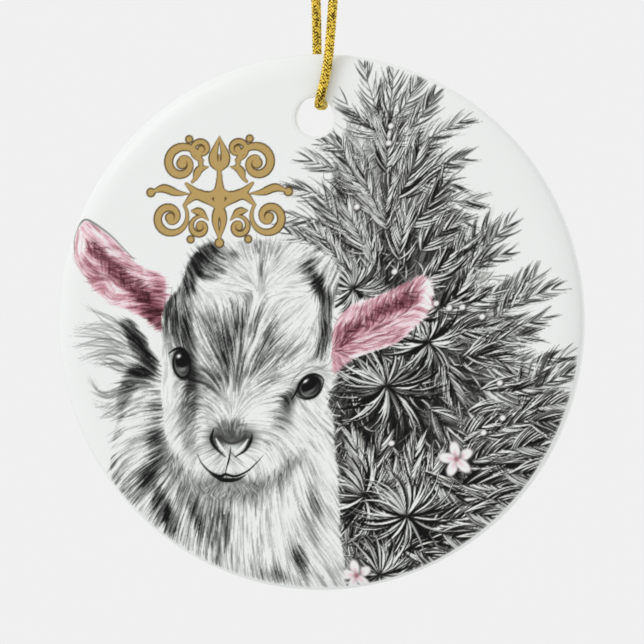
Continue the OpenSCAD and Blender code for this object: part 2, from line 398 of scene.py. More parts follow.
# ---------------------------------------------------------------- the cord
class ORNAMENT_OT_cord(bpy.types.Operator):
    """Braid the cord strand by strand along its route, with its overhand knot"""

    bl_idname = "ornament.cord"
    bl_label = "Braided cord"

    def execute(self, context):
        s = context.scene.cord_settings
        line, run = cord_line()
        side, up = side_vectors(line)
        radius, lay = s.diameter / MM / 2, s.lay / MM
        half = s.strands // 2
        points, faces, slots = [], [], []
        count = len(line)
        # Strands that turn each way cross over two and under two of the others.
        thick, width = 0.20, 0.37
        painted_shine_and_shade = []
        for k in range(s.strands):
            way = 1 if k % 2 == 0 else -1
            i = k // 2
            angle = math.tau * i / half + way * math.tau * run / lay
            n = 2 * s.strands // 2 * run / lay
            beat = n + 2 * i - 0.5 if way == 1 else n - 2 * i + 2.5
            over = np.cos(math.pi / 2 * beat)
            lift = radius - 0.15 + 0.10 * over
            # Across the strand, which runs on a slant round the cord.
            slant = math.atan2(math.tau * radius * 0.85, lay)
            out = side * np.cos(angle)[:, None] + up * np.sin(angle)[:, None]
            round_ = -side * np.sin(angle)[:, None] + up * np.cos(angle)[:, None]
            along = np.cross(side, up)
            cross = round_ * math.cos(slant) - way * along * math.sin(slant)
            mid = line + out * lift[:, None]
            ridge = mid + out * thick * 0.5
            edge_a = mid + cross * width / 2 - out * thick * 0.5
            edge_b = mid - cross * width / 2 - out * thick * 0.5
            # Painted light on each strand: its ridge is lighter where it passes over and darker where it
            # dives under, and its two edges get a quarter of that as painted shade.
            top = 0.62 + 0.38 * over
            painted_shine_and_shade.append(np.stack([top, 0.25 * top, 0.25 * top], 1).ravel())
            base = len(points)
            points.extend(np.stack([ridge, edge_a, edge_b], 1).reshape(-1, 3))
            for r in range(count - 1):
                a = base + 3 * r
                for c, d in ((0, 1), (1, 2), (2, 0)):
                    faces.append((a + c, a + 3 + c, a + 3 + d, a + d))
            top = base + 3 * count
            faces += [(base, base + 1, base + 2), (top - 1, top - 2, top - 3)]
            slots += [0] * (3 * (count - 1) + 2)
        # The core that shows in the gaps, near black as painted shade between the strands, and its two
        # sealed tips.
        sides, coarse = 8, np.r_[0, np.arange(3, count - 3, 5), count - 1]
        ring = np.arange(sides) * math.tau / sides
        base = len(points)
        for r in coarse:
            spoke = np.outer(np.cos(ring), side[r]) + np.outer(np.sin(ring), up[r])
            points.extend(line[r] + CORE_SHARE * radius * spoke)
        for r in range(len(coarse) - 1):
            for c in range(sides):
                a, b = base + r * sides + c, base + r * sides + (c + 1) % sides
                faces.append((a, b, b + sides, a + sides))
                slots.append(1)
        faces += [tuple(base + c for c in range(sides))[::-1],
                  tuple(len(points) - sides + c for c in range(sides))]
        slots += [1, 1]
        # Melted tips: blunt domes over the ends of the strands.
        for end, step in ((0, 1), (count - 1, -1)):
            axis = line[end] - line[end + 6 * step]
            axis /= np.linalg.norm(axis)
            profile = [(0.95, -0.55), (1.06, -0.3), (1.06, 0.05), (0.9, 0.32), (0.55, 0.5), (0.0, 0.56)]
            base = len(points)
            around = np.arange(12) * math.tau / 12
            for wide, high in profile[:-1]:
                ring_at = line[end] + axis * high
                points.extend(ring_at + wide * radius * (
                    np.outer(np.cos(around), side[end]) + step * -1 * np.outer(np.sin(around), up[end])))
            points.append(line[end] + axis * profile[-1][1])
            rows = len(profile) - 1
            for r in range(rows - 1):
                for c in range(12):
                    a, b = base + r * 12 + c, base + r * 12 + (c + 1) % 12
                    faces.append((a, b, b + 12, a + 12))
            top = base + 12 * (rows - 1)
            faces += [(top + c, top + (c + 1) % 12, len(points) - 1) for c in range(12)]
            faces.append(tuple(base + c for c in range(12))[::-1])
            slots += [2] * (12 * (rows - 1) + 13)
        cord = mesh_piece("braided_cord", np.array(points) * MM, faces, slots)
        # The strands' painted highlight and painted shade, read by the yarn's colour; the core and the tips
        # get none.
        painted_shine_and_shade = np.concatenate(painted_shine_and_shade)
        painted_shade = cord.data.attributes.new("painted_shine_and_shade", "FLOAT", "POINT")
        painted_shade.data.foreach_set("value", np.r_[painted_shine_and_shade, np.zeros(len(points) - len(painted_shine_and_shade))])
        for material in (yarn_material("gold_yarn", s.bright, s.deep),
                         plain_material("painted_shade_core", s.core, 0.7),
                         plain_material("melted_tip", s.deep, 0.3, 0.2)):
            cord.data.materials.append(material)
        pick(cord)
        bpy.ops.object.shade_smooth()
        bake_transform(cord)
        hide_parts("lower_cord", "upper_cord", "cord_knot", "cord_tails")
        return {"FINISHED"}


# ---------------------------------------------------------------- the disc
def face_height(radius, s):
    """Height of the glazed front face above the disc's middle, at distances from its centre."""
    wide, deep = s.front_shoulder
    over = np.clip((radius - (DISC_R - wide)) / wide, 0, 1)
    return DISC_T / 2 - deep * (1 - np.sqrt(1 - over**2))


class ORNAMENT_OT_disc(bpy.types.Operator):
    """Throw the glazed disc and pierce its hole"""

    bl_idname = "ornament.disc"
    bl_label = "Ceramic disc"

    def execute(self, context):
        s = context.scene.disc_settings
        (fw, fh), (bw, bh) = s.front_shoulder, s.back_shoulder
        turn = np.linspace(0, math.pi / 2, 15)
        profile = [(DISC_R * share, -DISC_T / 2) for share in FLAT_RINGS]
        top = DISC_T / 2
        profile += [(DISC_R - bw + bw * math.sin(a), -top + bh - bh * math.cos(a)) for a in turn[::2]]
        profile += [(DISC_R - fw + fw * math.cos(a), top - fh + fh * math.sin(a)) for a in turn]
        profile += [(DISC_R * share, DISC_T / 2) for share in FLAT_RINGS[::-1]]
        disc = lathe("glazed_disc", profile, s.segments)
        disc.location = (0, 0, DISC_Z)
        settle(disc)
        mouth = [
            (s.hole_radius + s.hole_round * (1 - math.cos(a)), top - s.hole_round * (1 - math.sin(a)))
            for a in np.linspace(0, math.pi / 2, 9)
        ]
        wide = s.hole_radius + s.hole_draft + 2 * s.hole_round
        rod = [(0, -DISC_T), (wide, -DISC_T)] + [(r + s.hole_draft, -h) for r, h in mouth[::-1]]
        rod += mouth + [(wide, DISC_T), (0, DISC_T)]
        cutter = lathe("hole_cutter", rod, 96)
        cutter.location = HOLE
        settle(cutter)
        apply(disc, "BOOLEAN", "Hole", object=cutter, operation="DIFFERENCE", solver="EXACT")
        deselect()
        bpy.data.objects.remove(cutter, do_unlink=True)
        pick(disc)
        bpy.ops.object.shade_smooth_by_angle(angle=math.radians(35))
        apply(disc, "WEIGHTED_NORMAL", "Even shading", keep_sharp=True)
        disc.data.materials.append(glaze_material("white_glaze", 0.35, tuple(s.glaze)))
        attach(disc, "disc")
        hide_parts("ceramic_disc")
        return {"FINISHED"}


# ---------------------------------------------------------------- painting
# Millimetres from the disc's centre: u to the right, v upwards. Tones run from 0, black, to 1, white.
PITCH = 0.12
HALF = 305
PRINT_BANDS = (("print_left", -40, -9.6), ("print_middle", -9.6, 9.6), ("print_right", 9.6, 40))
ROSE = np.array([(0.25, 0.13, 0.15), (0.42, 0.25, 0.28), (0.60, 0.41, 0.45), (0.76, 0.57, 0.61),
                 (0.86, 0.71, 0.75), (0.92, 0.86, 0.87), (0.95, 0.95, 0.95)])


def inside(points, outline):
    """Which points lie inside an outline."""
    x, y = points[:, 0], points[:, 1]
    hit = np.zeros(len(points), bool)
    for (ax, ay), (bx, by) in zip(outline, np.roll(outline, -1, axis=0)):
        if ay != by:
            hit ^= ((ay > y) != (by > y)) & (x < (bx - ax) * (y - ay) / (by - ay) + ax)
    return hit


def shade(points, base, blots):
    """Tone at each point: base, then soft ellipses (u, v, ru, rv, turn, tone, strength) laid over it."""
    tone = np.full(len(points), float(base))
    for u, v, ru, rv, turn, value, strength in blots:
        a = math.radians(turn)
        du, dv = points[:, 0] - u, points[:, 1] - v
        x, y = du * math.cos(a) + dv * math.sin(a), dv * math.cos(a) - du * math.sin(a)
        tone += (value - tone) * strength / (1 + np.exp((np.hypot(x / ru, y / rv) - 1) / 0.18))
    return tone


def lie(points, arrows):
    """Unit direction of the hair at each point, blended from arrows (u, v, degrees)."""
    a = np.asarray(arrows, float)
    w = (((points[:, None] - a[None, :, :2]) ** 2).sum(2) + 0.36) ** -1.7
    d = np.stack([w @ np.cos(np.radians(a[:, 2])), w @ np.sin(np.radians(a[:, 2]))], 1)
    return d / np.maximum(np.linalg.norm(d, axis=1, keepdims=True), 1e-9)


def smooth(field, radius):
    """Box blur, twice each way."""
    for axis in (0, 1, 0, 1):
        pad = [(0, 0), (0, 0)]
        pad[axis] = (radius + 1, radius)
        run = np.cumsum(np.pad(field, pad, mode="edge"), axis=axis)
        size = field.shape[axis]
        high, low = (slice(2 * radius + 1, 2 * radius + 1 + size), slice(0, size))
        field = (run[high] - run[low] if axis == 0 else run[:, high] - run[:, low]) / (2 * radius + 1)
    return field


class Canvas:
    """The print as it is laid on, with a point every PITCH over the face."""

    def __init__(self, paper):
        self.size = 2 * HALF + 1
        self.ink = np.empty((self.size, self.size, 3), np.float32)
        self.ink[:] = paper
        self.shift = np.zeros(2)

    def area(self, outline, margin):
        """The block of the canvas round an outline: its slices, and its points."""
        low = np.clip(np.floor((np.min(outline, 0) - margin) / PITCH).astype(int) + HALF, 0, self.size - 1)
        high = np.clip(np.ceil((np.max(outline, 0) + margin) / PITCH).astype(int) + HALF, 1, self.size)
        rows, cols = np.mgrid[low[1]:high[1], low[0]:high[0]]
        points = np.stack([(cols.ravel() - HALF) * PITCH, (rows.ravel() - HALF) * PITCH], 1)
        return (slice(low[1], high[1]), slice(low[0], high[0])), points, rows.shape

    def lay(self, block, colour, cover):
        part = self.ink[block]
        part += (colour - part) * cover[..., None]

    def stroke(self, line, width, colour, cover=1.0, taper=(0.5, 0.0)):
        """A soft-edged line. taper is how wide its two ends are against its middle."""
        p = (line + self.shift) / PITCH + HALF
        k = len(p)
        s = np.linspace(0, 1, k)
        body = np.minimum(1, taper[0] + (1 - taper[0]) * 3 * s)
        body = body * np.minimum(1, taper[1] + (1 - taper[1]) * 2.2 * (1 - s))
        r = width / PITCH / 2 * body
        x0, y0 = np.maximum(0, np.floor(p.min(0) - r.max() - 1)).astype(int)
        x1, y1 = np.minimum(self.size, np.ceil(p.max(0) + r.max() + 2)).astype(int)
        if x1 <= x0 or y1 <= y0:
            return
        gx, gy = np.arange(x0, x1)[None, None], np.arange(y0, y1)[None, :, None]
        ax, ay = p[:-1, 0, None, None], p[:-1, 1, None, None]
        dx, dy = p[1:, 0, None, None] - ax, p[1:, 1, None, None] - ay
        t = np.clip(((gx - ax) * dx + (gy - ay) * dy) / np.maximum(dx * dx + dy * dy, 1e-9), 0, 1)
        far = np.hypot(gx - ax - t * dx, gy - ay - t * dy)
        wide = r[:-1, None, None] + t * (r[1:] - r[:-1])[:, None, None]
        edge = np.clip(wide - far + 0.5, 0, 1).max(0) * cover
        part = self.ink[y0:y1, x0:x1]
        part += (np.asarray(colour, np.float32) - part) * edge[..., None]

    def spot(self, u, v, ru, rv, turn, colour, cover=1.0, soft=0.08):
        """A filled ellipse with a soft edge; soft is in millimetres."""
        u, v = u + self.shift[0], v + self.shift[1]
        r = max(ru, rv)
        block, points, shape = self.area([(u - r, v - r), (u + r, v + r)], 3 * soft + 0.3)
        a = math.radians(turn)
        du, dv = points[:, 0] - u, points[:, 1] - v
        x, y = du * math.cos(a) + dv * math.sin(a), dv * math.cos(a) - du * math.sin(a)
        far = (np.hypot(x / ru, y / rv) - 1) * min(ru, rv)
        cover = cover / (1 + np.exp(np.clip(far / (soft * 0.5), -30, 30)))
        self.lay(block, colour, cover.reshape(shape))


def combed(noise, du, dv, reach):
    """Noise drawn out along the lie of the hair, reach points each way."""
    rows, cols = np.mgrid[:noise.shape[0], :noise.shape[1]].astype(np.float32)
    high, wide = noise.shape[0] - 1, noise.shape[1] - 1

    def nearest(x, y):
        i, j = np.clip(np.rint(x), 0, wide), np.clip(np.rint(y), 0, high)
        return i.astype(np.int32), j.astype(np.int32)

    total = noise.copy()
    for sign in (1, -1):
        x, y = cols.copy(), rows.copy()
        for _ in range(reach):
            i, j = nearest(x, y)
            x += sign * du[j, i]
            y += sign * dv[j, i]
            i, j = nearest(x, y)
            total += noise[j, i]
    return total / (2 * reach + 1)


def even_out(field):
    return (field - field.mean()) / field.std()


def field_of(points, shape, arrows):
    """Hair directions over a block, worked out on every sixth point and filled in between."""
    step = 6
    grid = points.reshape(*shape, 2)
    rows = np.unique(np.r_[np.arange(0, shape[0], step), shape[0] - 1])
    cols = np.unique(np.r_[np.arange(0, shape[1], step), shape[1] - 1])
    d = lie(grid[np.ix_(rows, cols)].reshape(-1, 2), arrows).reshape(len(rows), len(cols), 2)
    out = []
    for k in range(2):
        wide = np.stack([np.interp(np.arange(shape[1]), cols, d[r, :, k]) for r in range(len(rows))])
        at = np.interp(np.arange(shape[0]), rows, np.arange(len(rows)))
        low = np.minimum(at.astype(int), len(rows) - 2)
        part = (at - low)[:, None]
        out.append(wide[low] * (1 - part) + wide[low + 1] * part)
    size = np.hypot(*out) + 1e-9
    return out[0] / size, out[1] / size


def grey(tone, warm=0.0):
    """A neutral ink of that tone, with a trace of green in the lights."""
    tone = np.clip(tone, 0.01, 0.97)
    return np.stack([tone * (0.985 + warm), tone, tone * (0.985 - warm)], -1)


def rose(tone):
    """Ink from deep rose to white."""
    at = np.clip(tone, 0, 1) * (len(ROSE) - 1)
    return np.stack([np.interp(at, np.arange(len(ROSE)), ROSE[:, k]) for k in range(3)], -1)


def fur(canvas, rng, outline, blots, base, arrows, contrast, tint, reach=9, ragged=0.30, soft=2):
    """A patch of hair: soft tone, drawn out into locks and single hairs, with a ragged edge."""
    block, points, shape = canvas.area(outline, 2.5)
    du, dv = field_of(points, shape, arrows)
    tone = shade(points, base, blots).reshape(shape)
    tone = combed(tone, du, dv, 3)
    hair = even_out(combed(rng.random(shape), du, dv, reach))
    hair = even_out(0.6 * hair + 0.4 * smooth(hair, 1))
    lock = even_out(combed(smooth(rng.random(shape), 1), du, dv, reach * 2))
    cover = smooth(inside(points, outline).astype(float).reshape(shape), soft)
    cover = combed(cover, du, dv, 5)
    cover = np.clip((cover - 0.5 + ragged * (0.3 * hair + 0.3 * lock)) * 2.6 + 0.5, 0, 1)
    half = np.sqrt(np.clip(tone * (1 - tone), 0, 0.25)) * 2
    streak = np.tanh(0.75 * lock + 0.75 * hair)
    tone = tone + contrast * (0.22 + 0.78 * half) * streak
    canvas.lay(block, tint(tone), cover)
    return du, dv


def hairs(canvas, rng, outline, blots, base, arrows, gap, length, width, contrast, tint, cover=0.8):
    """Single hairs over a patch."""
    low, high = outline.min(0), outline.max(0)
    n = np.ceil((high - low) / gap).astype(int)
    gx, gy = np.meshgrid(np.arange(n[0]), np.arange(n[1]))
    roots = low + (np.stack([gx.ravel(), gy.ravel()], 1) + rng.random((gx.size, 2))) * gap
    roots = roots[inside(roots, outline)]
    rng.shuffle(roots)
    tone = shade(roots, base, blots)
    long = length * rng.uniform(0.6, 1.3, len(roots))
    line = [roots - lie(roots, arrows) * (long / 2)[:, None]]
    for _ in range(4):
        d = lie(line[-1], arrows)
        line.append(line[-1] + d * (long / 4)[:, None])
    lines = np.stack(line, 1)
    half = np.sqrt(np.clip(tone * (1 - tone), 0, 0.25)) * 2
    tone = tone + contrast * (0.3 + 0.7 * half) * rng.choice([-1.0, -0.5, 0.4, 1.0], len(roots))
    inks = tint(tone)
    wide = width * rng.uniform(0.6, 1.3, len(roots))
    for k in range(len(roots)):
        canvas.stroke(lines[k], wide[k], inks[k], cover)


# ---------------------------------------------------------------- kid
HEAD = curve_through([
    (-21.2, 2), (-21.3, -3.8), (-21.5, -8.5), (-21.3, -12.7), (-20.6, -16.4), (-18.9, -19.8),
    (-16.4, -22.3), (-12.8, -23.6), (-8.3, -22.6), (-4.8, -20.2), (-2.1, -17.4), (0.3, -14), (1.8, -10.6),
    (2.3, -7), (2.2, -3), (2.6, 1.5), (3.4, 5.4), (2.6, 8.2), (-0.6, 10.2), (-6.5, 11.3), (-11.5, 11.2),
    (-15.4, 10.6), (-17.7, 8.2), (-18.9, 5),
], 6, True)
BODY = curve_through([
    (-22, -8), (-25, -10), (-27.6, -13), (-28.6, -17), (-29, -20.5), (-28.3, -23.8), (-22.5, -30),
    (-14, -34.8), (-5, -36.8), (3.4, -36.8), (3.9, -33), (3.5, -29), (3.4, -24), (3.1, -19.3), (2.6, -15.6),
    (1.5, -11), (-6, -12), (-16, -14),
], 6, True)
NECK = curve_through([
    (-27.6, 0.3), (-25.8, 0.4), (-24.4, -1.4), (-23.2, -3.6), (-22, -5.4), (-22.2, -8), (-24, -10.4),
    (-26.4, -12.6), (-27.8, -12), (-27.6, -9), (-26.4, -6), (-26.2, -3),
], 6, True)
EAR_LEFT = curve_through([
    (-32.5, 13.9), (-30.2, 12.7), (-28.2, 11.1), (-26.5, 9.4), (-24.3, 7.5), (-22.3, 6.8), (-21, 5.8),
    (-20.8, 3.3), (-21, 0.8), (-21.5, -1.6), (-23.3, 0), (-25.1, 1.2), (-28.2, 2.5), (-30.2, 3.7),
    (-32.1, 5.8), (-33.5, 8.1), (-34.1, 10.4), (-33.5, 12.8),
], 5, True)
EAR_RIGHT = curve_through([
    (15, 6.3), (12, 5), (9.4, 3.8), (5.4, 2.5), (3.6, 1), (2.6, -1), (1.9, -3.5), (2.2, -7.2), (3.9, -5.9),
    (6.4, -4.5), (10.9, -3), (13.6, -1), (15.8, 1.5), (16.3, 4.4),
], 5, True)

HEAD_BLOTS = [
    (-11.5, -1.5, 3.2, 4.4, 0, 0.36, 0.5), (-16.4, 3, 2.2, 4.4, 10, 0.42, 0.4),
    (-4.6, 1, 3, 3.6, -20, 0.46, 0.38), (-14.6, 3.7, 3.0, 2.6, 0, 0.96, 0.9),
    (-3.3, 4.2, 3.4, 3.6, 0, 0.96, 0.9), (-3.0, 0.0, 2.2, 3.0, 20, 0.93, 0.8),
    (-16.4, 8.2, 1.5, 3.1, -28, 0.1, 0.95), (-17.7, 5.0, 0.9, 2.2, -10, 0.22, 0.8),
    (-14.4, 9.9, 1.6, 0.9, 20, 0.18, 0.8), (-12.2, 9.1, 1.6, 0.6, 0, 0.3, 0.7),
    (-14.2, 7.0, 1.4, 1.2, 30, 0.35, 0.7), (-19.6, 2.4, 1.5, 3.6, 0, 0.36, 0.9),
    (-19.2, -1.0, 1.9, 2.4, 0, 0.2, 0.9), (-18.0, -3.0, 0.9, 3.0, 8, 0.3, 0.7),
    (0.8, 4.4, 0.95, 2.7, 24, 0.04, 1.0), (1.5, 0.0, 0.8, 3.0, 0, 0.25, 0.9),
    (0.9, -3.2, 0.9, 1.9, -10, 0.36, 0.8), (-0.8, 7.6, 1.7, 0.7, 25, 0.3, 0.8),
    (2.6, 5.0, 0.9, 2.4, 10, 0.62, 0.7), (-7.2, 10.0, 2.2, 1.5, 0, 0.62, 0.6),
    (-7.4, 6.2, 0.5, 1.8, 0, 0.45, 0.7), (-12.7, -3.6, 1.9, 4.4, 18, 0.34, 0.85),
    (-10.8, -0.2, 1.5, 3.2, 4, 0.42, 0.8), (-8.1, 0.4, 0.5, 2.2, -20, 0.25, 0.7),
    (-7.2, -4.4, 1.4, 3.6, -28, 0.4, 0.8), (-4.5, -4.6, 1.2, 3.2, -45, 0.6, 0.7),
    (-9.9, -5.5, 1.0, 3.0, -6, 0.55, 0.6), (-15.2, -7.8, 2.6, 1.5, -20, 0.4, 0.8),
    (-5.8, -8.2, 2.2, 0.9, 15, 0.62, 0.7), (-15.4, -11.0, 2.4, 0.6, -25, 0.55, 0.6),
    (-17.6, -8.4, 0.65, 2.2, 0, 0.16, 0.95), (-17.7, -12.2, 1.1, 2.2, 0, 0.38, 0.8),
    (-18.0, -15.3, 1.0, 1.7, 0, 0.58, 0.7), (-3.9, -11.0, 0.8, 1.6, -25, 0.24, 0.9),
    (-4.6, -13.4, 1.3, 1.3, 0, 0.6, 0.7), (-1.0, -11.6, 1.0, 1.0, 0, 0.7, 0.5),
    (-11.0, -11.4, 1.7, 2.2, 0, 0.9, 0.8), (-8.8, -12.8, 2.4, 1.6, 0, 0.97, 0.9),
    (-14.3, -13.4, 1.2, 1.2, 0, 0.93, 0.8), (-12.2, -14.9, 2.1, 1.5, 0, 0.46, 0.9),
    (-12.2, -15.9, 1.8, 0.7, 0, 0.3, 0.7), (-20.4, -9.5, 1.0, 6.5, 0, 0.95, 0.9),
    (-19.3, -18.0, 0.9, 3.0, 30, 0.95, 0.9), (-12.0, -22.4, 3.6, 0.9, 0, 0.66, 0.8),
    (-12.6, -21.8, 2.4, 0.5, 0, 0.45, 0.6), (-1.8, -14.4, 1.6, 2.6, -25, 0.92, 0.7),
    (-6.2, -19.4, 1.8, 1.4, 30, 0.94, 0.8), (-6.6, -17.2, 0.8, 1.0, 0, 0.72, 0.7),
]
BODY_BLOTS = [
    (-24.6, -12.8, 2.4, 4.0, 0, 0.88, 0.8), (-22.3, -12.9, 0.9, 3.4, 0, 0.42, 0.85),
    (-22.2, -17.6, 1.2, 2.6, 10, 0.16, 0.9), (-23.6, -21.6, 1.3, 2.6, -32, 0.1, 0.95),
    (-21.8, -24.9, 1.2, 2.6, 14, 0.12, 0.9), (-20.3, -27.6, 1.2, 1.9, 20, 0.14, 0.9),
    (-27.4, -13.4, 0.6, 2.6, -16, 0.45, 0.7), (-28.3, -20.0, 0.5, 2.2, 0, 0.45, 0.7),
    (-26.0, -23.2, 1.6, 1.6, -40, 0.52, 0.7), (-19.9, -21.4, 0.9, 2.4, 24, 0.55, 0.8),
    (-18.3, -24.0, 0.9, 2.6, 10, 0.42, 0.8), (-16.3, -26.6, 0.8, 2.8, 5, 0.3, 0.85),
    (-13.2, -26.0, 1.8, 3.8, 0, 0.5, 0.85), (-13.6, -30.8, 2.2, 3.0, 0, 0.56, 0.7),
    (-18.4, -29.0, 0.8, 1.8, 15, 0.5, 0.6), (-8.8, -24.6, 1.6, 1.4, 0, 0.6, 0.7),
    (-4.9, -21.2, 0.5, 1.5, -15, 0.55, 0.7), (0.1, -24.8, 0.8, 2.3, 12, 0.42, 0.85),
    (-0.5, -28.0, 0.5, 2.0, 20, 0.55, 0.6), (-2.2, -32.0, 1.1, 2.4, 22, 0.28, 0.9),
    (-5.6, -34.6, 2.2, 0.9, -10, 0.25, 0.85), (-4.4, -28.0, 1.8, 4.0, 0, 0.97, 0.9),
    (-7.6, -29.0, 0.9, 4.0, 0, 0.86, 0.6), (1.7, -20.0, 1.4, 4.0, 0, 0.95, 0.8),
    (2.2, -28.6, 1.2, 2.4, 20, 0.93, 0.8), (1.4, -33.4, 1.4, 2.0, 25, 0.86, 0.8),
    (2.6, -14.4, 0.8, 1.6, 0, 0.6, 0.7),
]
NECK_BLOTS = [
    (-26.0, -1.0, 1.0, 1.8, 34, 0.3, 0.8), (-24.6, -3.4, 1.3, 3.0, 34, 0.08, 0.95),
    (-24.4, -7.0, 2.0, 1.3, 20, 0.1, 0.95), (-26.6, -9.4, 1.2, 2.4, -24, 0.28, 0.9),
    (-27.4, -12.2, 0.5, 1.4, 0, 0.4, 0.8), (-22.8, -5.3, 0.8, 0.8, 0, 0.2, 0.8),
]
# In the ears a tone of 0 is deep rose and 1 is white.
EAR_LEFT_BLOTS = [
    (-26.8, 6.0, 1.1, 6.2, 47, 0.2, 0.85), (-30.6, 9.4, 0.8, 2.4, 45, 0.34, 0.7),
    (-23.4, 2.0, 1.4, 3.4, 40, 0.08, 0.95), (-21.6, 0.4, 0.9, 2.4, 10, 0.14, 0.9),
    (-22.4, 5.0, 1.1, 1.8, 20, 0.28, 0.7), (-25.5, 7.2, 1.4, 1.6, 40, 0.62, 0.6),
    (-23.9, 5.2, 1.4, 1.2, 0, 0.7, 0.6), (-28.2, 4.6, 1.6, 0.8, -30, 0.85, 0.7),
    (-30.6, 6.4, 1.6, 0.9, -40, 0.5, 0.6), (-33.0, 10.8, 0.7, 2.6, -12, 0.86, 0.8),
    (-31.6, 12.4, 1.6, 0.7, -25, 0.8, 0.7), (-28.6, 9.8, 0.6, 2.4, 48, 0.8, 0.6),
    (-27.0, 3.0, 2.6, 0.6, -18, 0.72, 0.6),
]
EAR_RIGHT_BLOTS = [
    (9.2, 0.8, 4.4, 0.9, 32, 0.3, 0.8), (12.4, 2.4, 1.4, 0.8, 35, 0.12, 0.8),
    (4.0, -2.6, 1.0, 2.6, -20, 0.3, 0.8), (3.2, -4.8, 0.9, 1.8, 0, 0.4, 0.7),
    (15.7, 4.2, 0.7, 2.6, -10, 0.97, 0.95), (9.0, 4.2, 5.4, 0.5, 26, 0.95, 0.95),
    (14.0, -0.4, 2.4, 0.5, 42, 0.9, 0.8), (3.2, 0.6, 1.0, 1.0, 0, 0.8, 0.8),
    (11.2, 0.2, 2.2, 0.8, 30, 0.66, 0.7), (7.0, -2.6, 2.4, 0.8, 20, 0.6, 0.7),
    (12.6, 4.2, 1.6, 0.6, 30, 0.55, 0.6), (8.0, -4.0, 4.0, 0.5, 18, 0.85, 0.7),
]

HEAD_LIE = [
    (-11.6, -9.5, 92), (-12.4, -6, 104), (-14, -6.5, 128), (-16.3, -7.2, 158), (-16.6, -9.5, 170),
    (-15.5, -4, 124), (-17, -1, 112), (-16.6, 2, 112), (-14.5, 1, 108), (-12, -2, 102), (-11, 2, 96),
    (-9, -1, 78), (-9.6, -6, 80), (-8, -4.5, 62), (-6, -5.5, 46), (-4.5, -2.5, 45), (-6, 0.5, 55),
    (-3.5, 1.5, 42), (-1.5, 1, 50), (-5, -8, 18), (-7.6, -8.6, 30), (-2, -5.2, 38), (-8, 2.5, 72),
    (-7.7, 5.6, 90), (-9.5, 4.6, 172), (-12, 5, 176), (-14.5, 5.5, 164), (-10.5, 6.8, 150), (-13, 8, 158),
    (-15.5, 8.4, 132), (-17.4, 6, 112), (-16, 10, 128), (-11.5, 10, 130), (-9, 9.5, 108), (-7.2, 9.5, 88),
    (-5.2, 9, 58), (-5.4, 6.5, 38), (-3, 7.8, 30), (-5.6, 4.4, 4), (-3, 4.4, -6), (-0.8, 5.6, 18),
    (0, 8, 34), (1.6, 6.5, 70), (1.2, 3, 96), (1.6, -0.5, 100), (1.2, -3.4, 80), (-19.8, 4, 84),
    (-20, 0.5, 92), (-18.8, -2, 100), (-20.4, -5, -84), (-20.6, -10, -84), (-19.2, -12, 232),
    (-18, -10, 236), (-17.6, -14, 226), (-18.4, -16.5, 236), (-19.4, -17.5, 240), (-17, -19.5, 250),
    (-15.5, -21.5, 250), (-12.4, -22.6, 268), (-9.5, -22.2, 286), (-14.8, -10.6, 150), (-13.2, -11.8, 128),
    (-9.8, -11.8, 52), (-8, -10.8, 26), (-6, -11, 8), (-7, -13.4, -8), (-5, -14, -20), (-14.6, -15, 176),
    (-15.6, -17.5, 200), (-14.2, -19, 214), (-9.4, -14.4, -6), (-9.2, -17, -14), (-10.6, -19, -36),
    (-12.2, -14.6, 90), (-3.4, -11, -70), (-1.6, -11.6, -52), (0.2, -9, -48), (-3.6, -15, -38),
    (-1.2, -14, -48), (-5, -18, -64), (-7.2, -20.4, -80), (-2.6, -17, -54),
]
BODY_LIE = [
    (-23, -11, 182), (-26, -12, 192), (-24, -15, 196), (-27.5, -16, 214), (-25, -19, 214), (-28, -20, 232),
    (-22.4, -18, 208), (-22, -21.5, 222), (-24, -23, 226), (-26.4, -22.6, 222), (-20.4, -22, 240),
    (-20.6, -26, 244), (-22.6, -26, 234), (-18, -24, 252), (-17.5, -28, 256), (-15, -27, 263),
    (-12.5, -25, 267), (-12, -31, 268), (-8, -26, 270), (-8, -32, 276), (-4.5, -24, 276), (-4, -30, 284),
    (-1, -21, 290), (-0.5, -26, 298), (-1.5, -31, 304), (1.4, -17, 300), (1.8, -22, 300), (2, -27, 306),
    (1, -31, 312), (2.4, -33.5, 300), (0, -16, 306), (2.4, -13, 320), (-6, -34.5, 280),
]
NECK_LIE = [
    (-27, 0, 150), (-25.6, -1, 138), (-24, -3.6, 134), (-22.6, -5.4, 140), (-26, -4, 160), (-24.6, -7, 164),
    (-26.4, -8.4, 188), (-27, -11, 214), (-25.4, -10, 206),
]
EAR_LEFT_LIE = [
    (-22, 5, 176), (-24, 6, 172), (-26.5, 8, 160), (-29, 10, 152), (-31.5, 12, 140), (-33.4, 10.6, 80),
    (-23, 2, 170), (-26, 4.6, 176), (-29.5, 7.4, 168), (-31.5, 7.4, 150), (-28.6, 4.4, 120), (-27, 3, 196),
    (-30.4, 5, 196), (-24.4, 1.6, 186), (-21.6, -0.4, 200), (-32.6, 8, 128),
]
EAR_RIGHT_LIE = [
    (4, 0.6, 50), (6, 1.4, 62), (9, 2.6, 60), (12, 3.8, 54), (14.6, 5.2, 50), (15.8, 3.6, -60),
    (14.8, 1.4, -20), (12, 0.2, 14), (9, -1.4, 10), (6, -3.2, 6), (3.4, -5.6, -50), (3, -2, 70),
    (7.6, 0.6, 110), (11, 2, 104), (13.4, 3.2, 80),
]
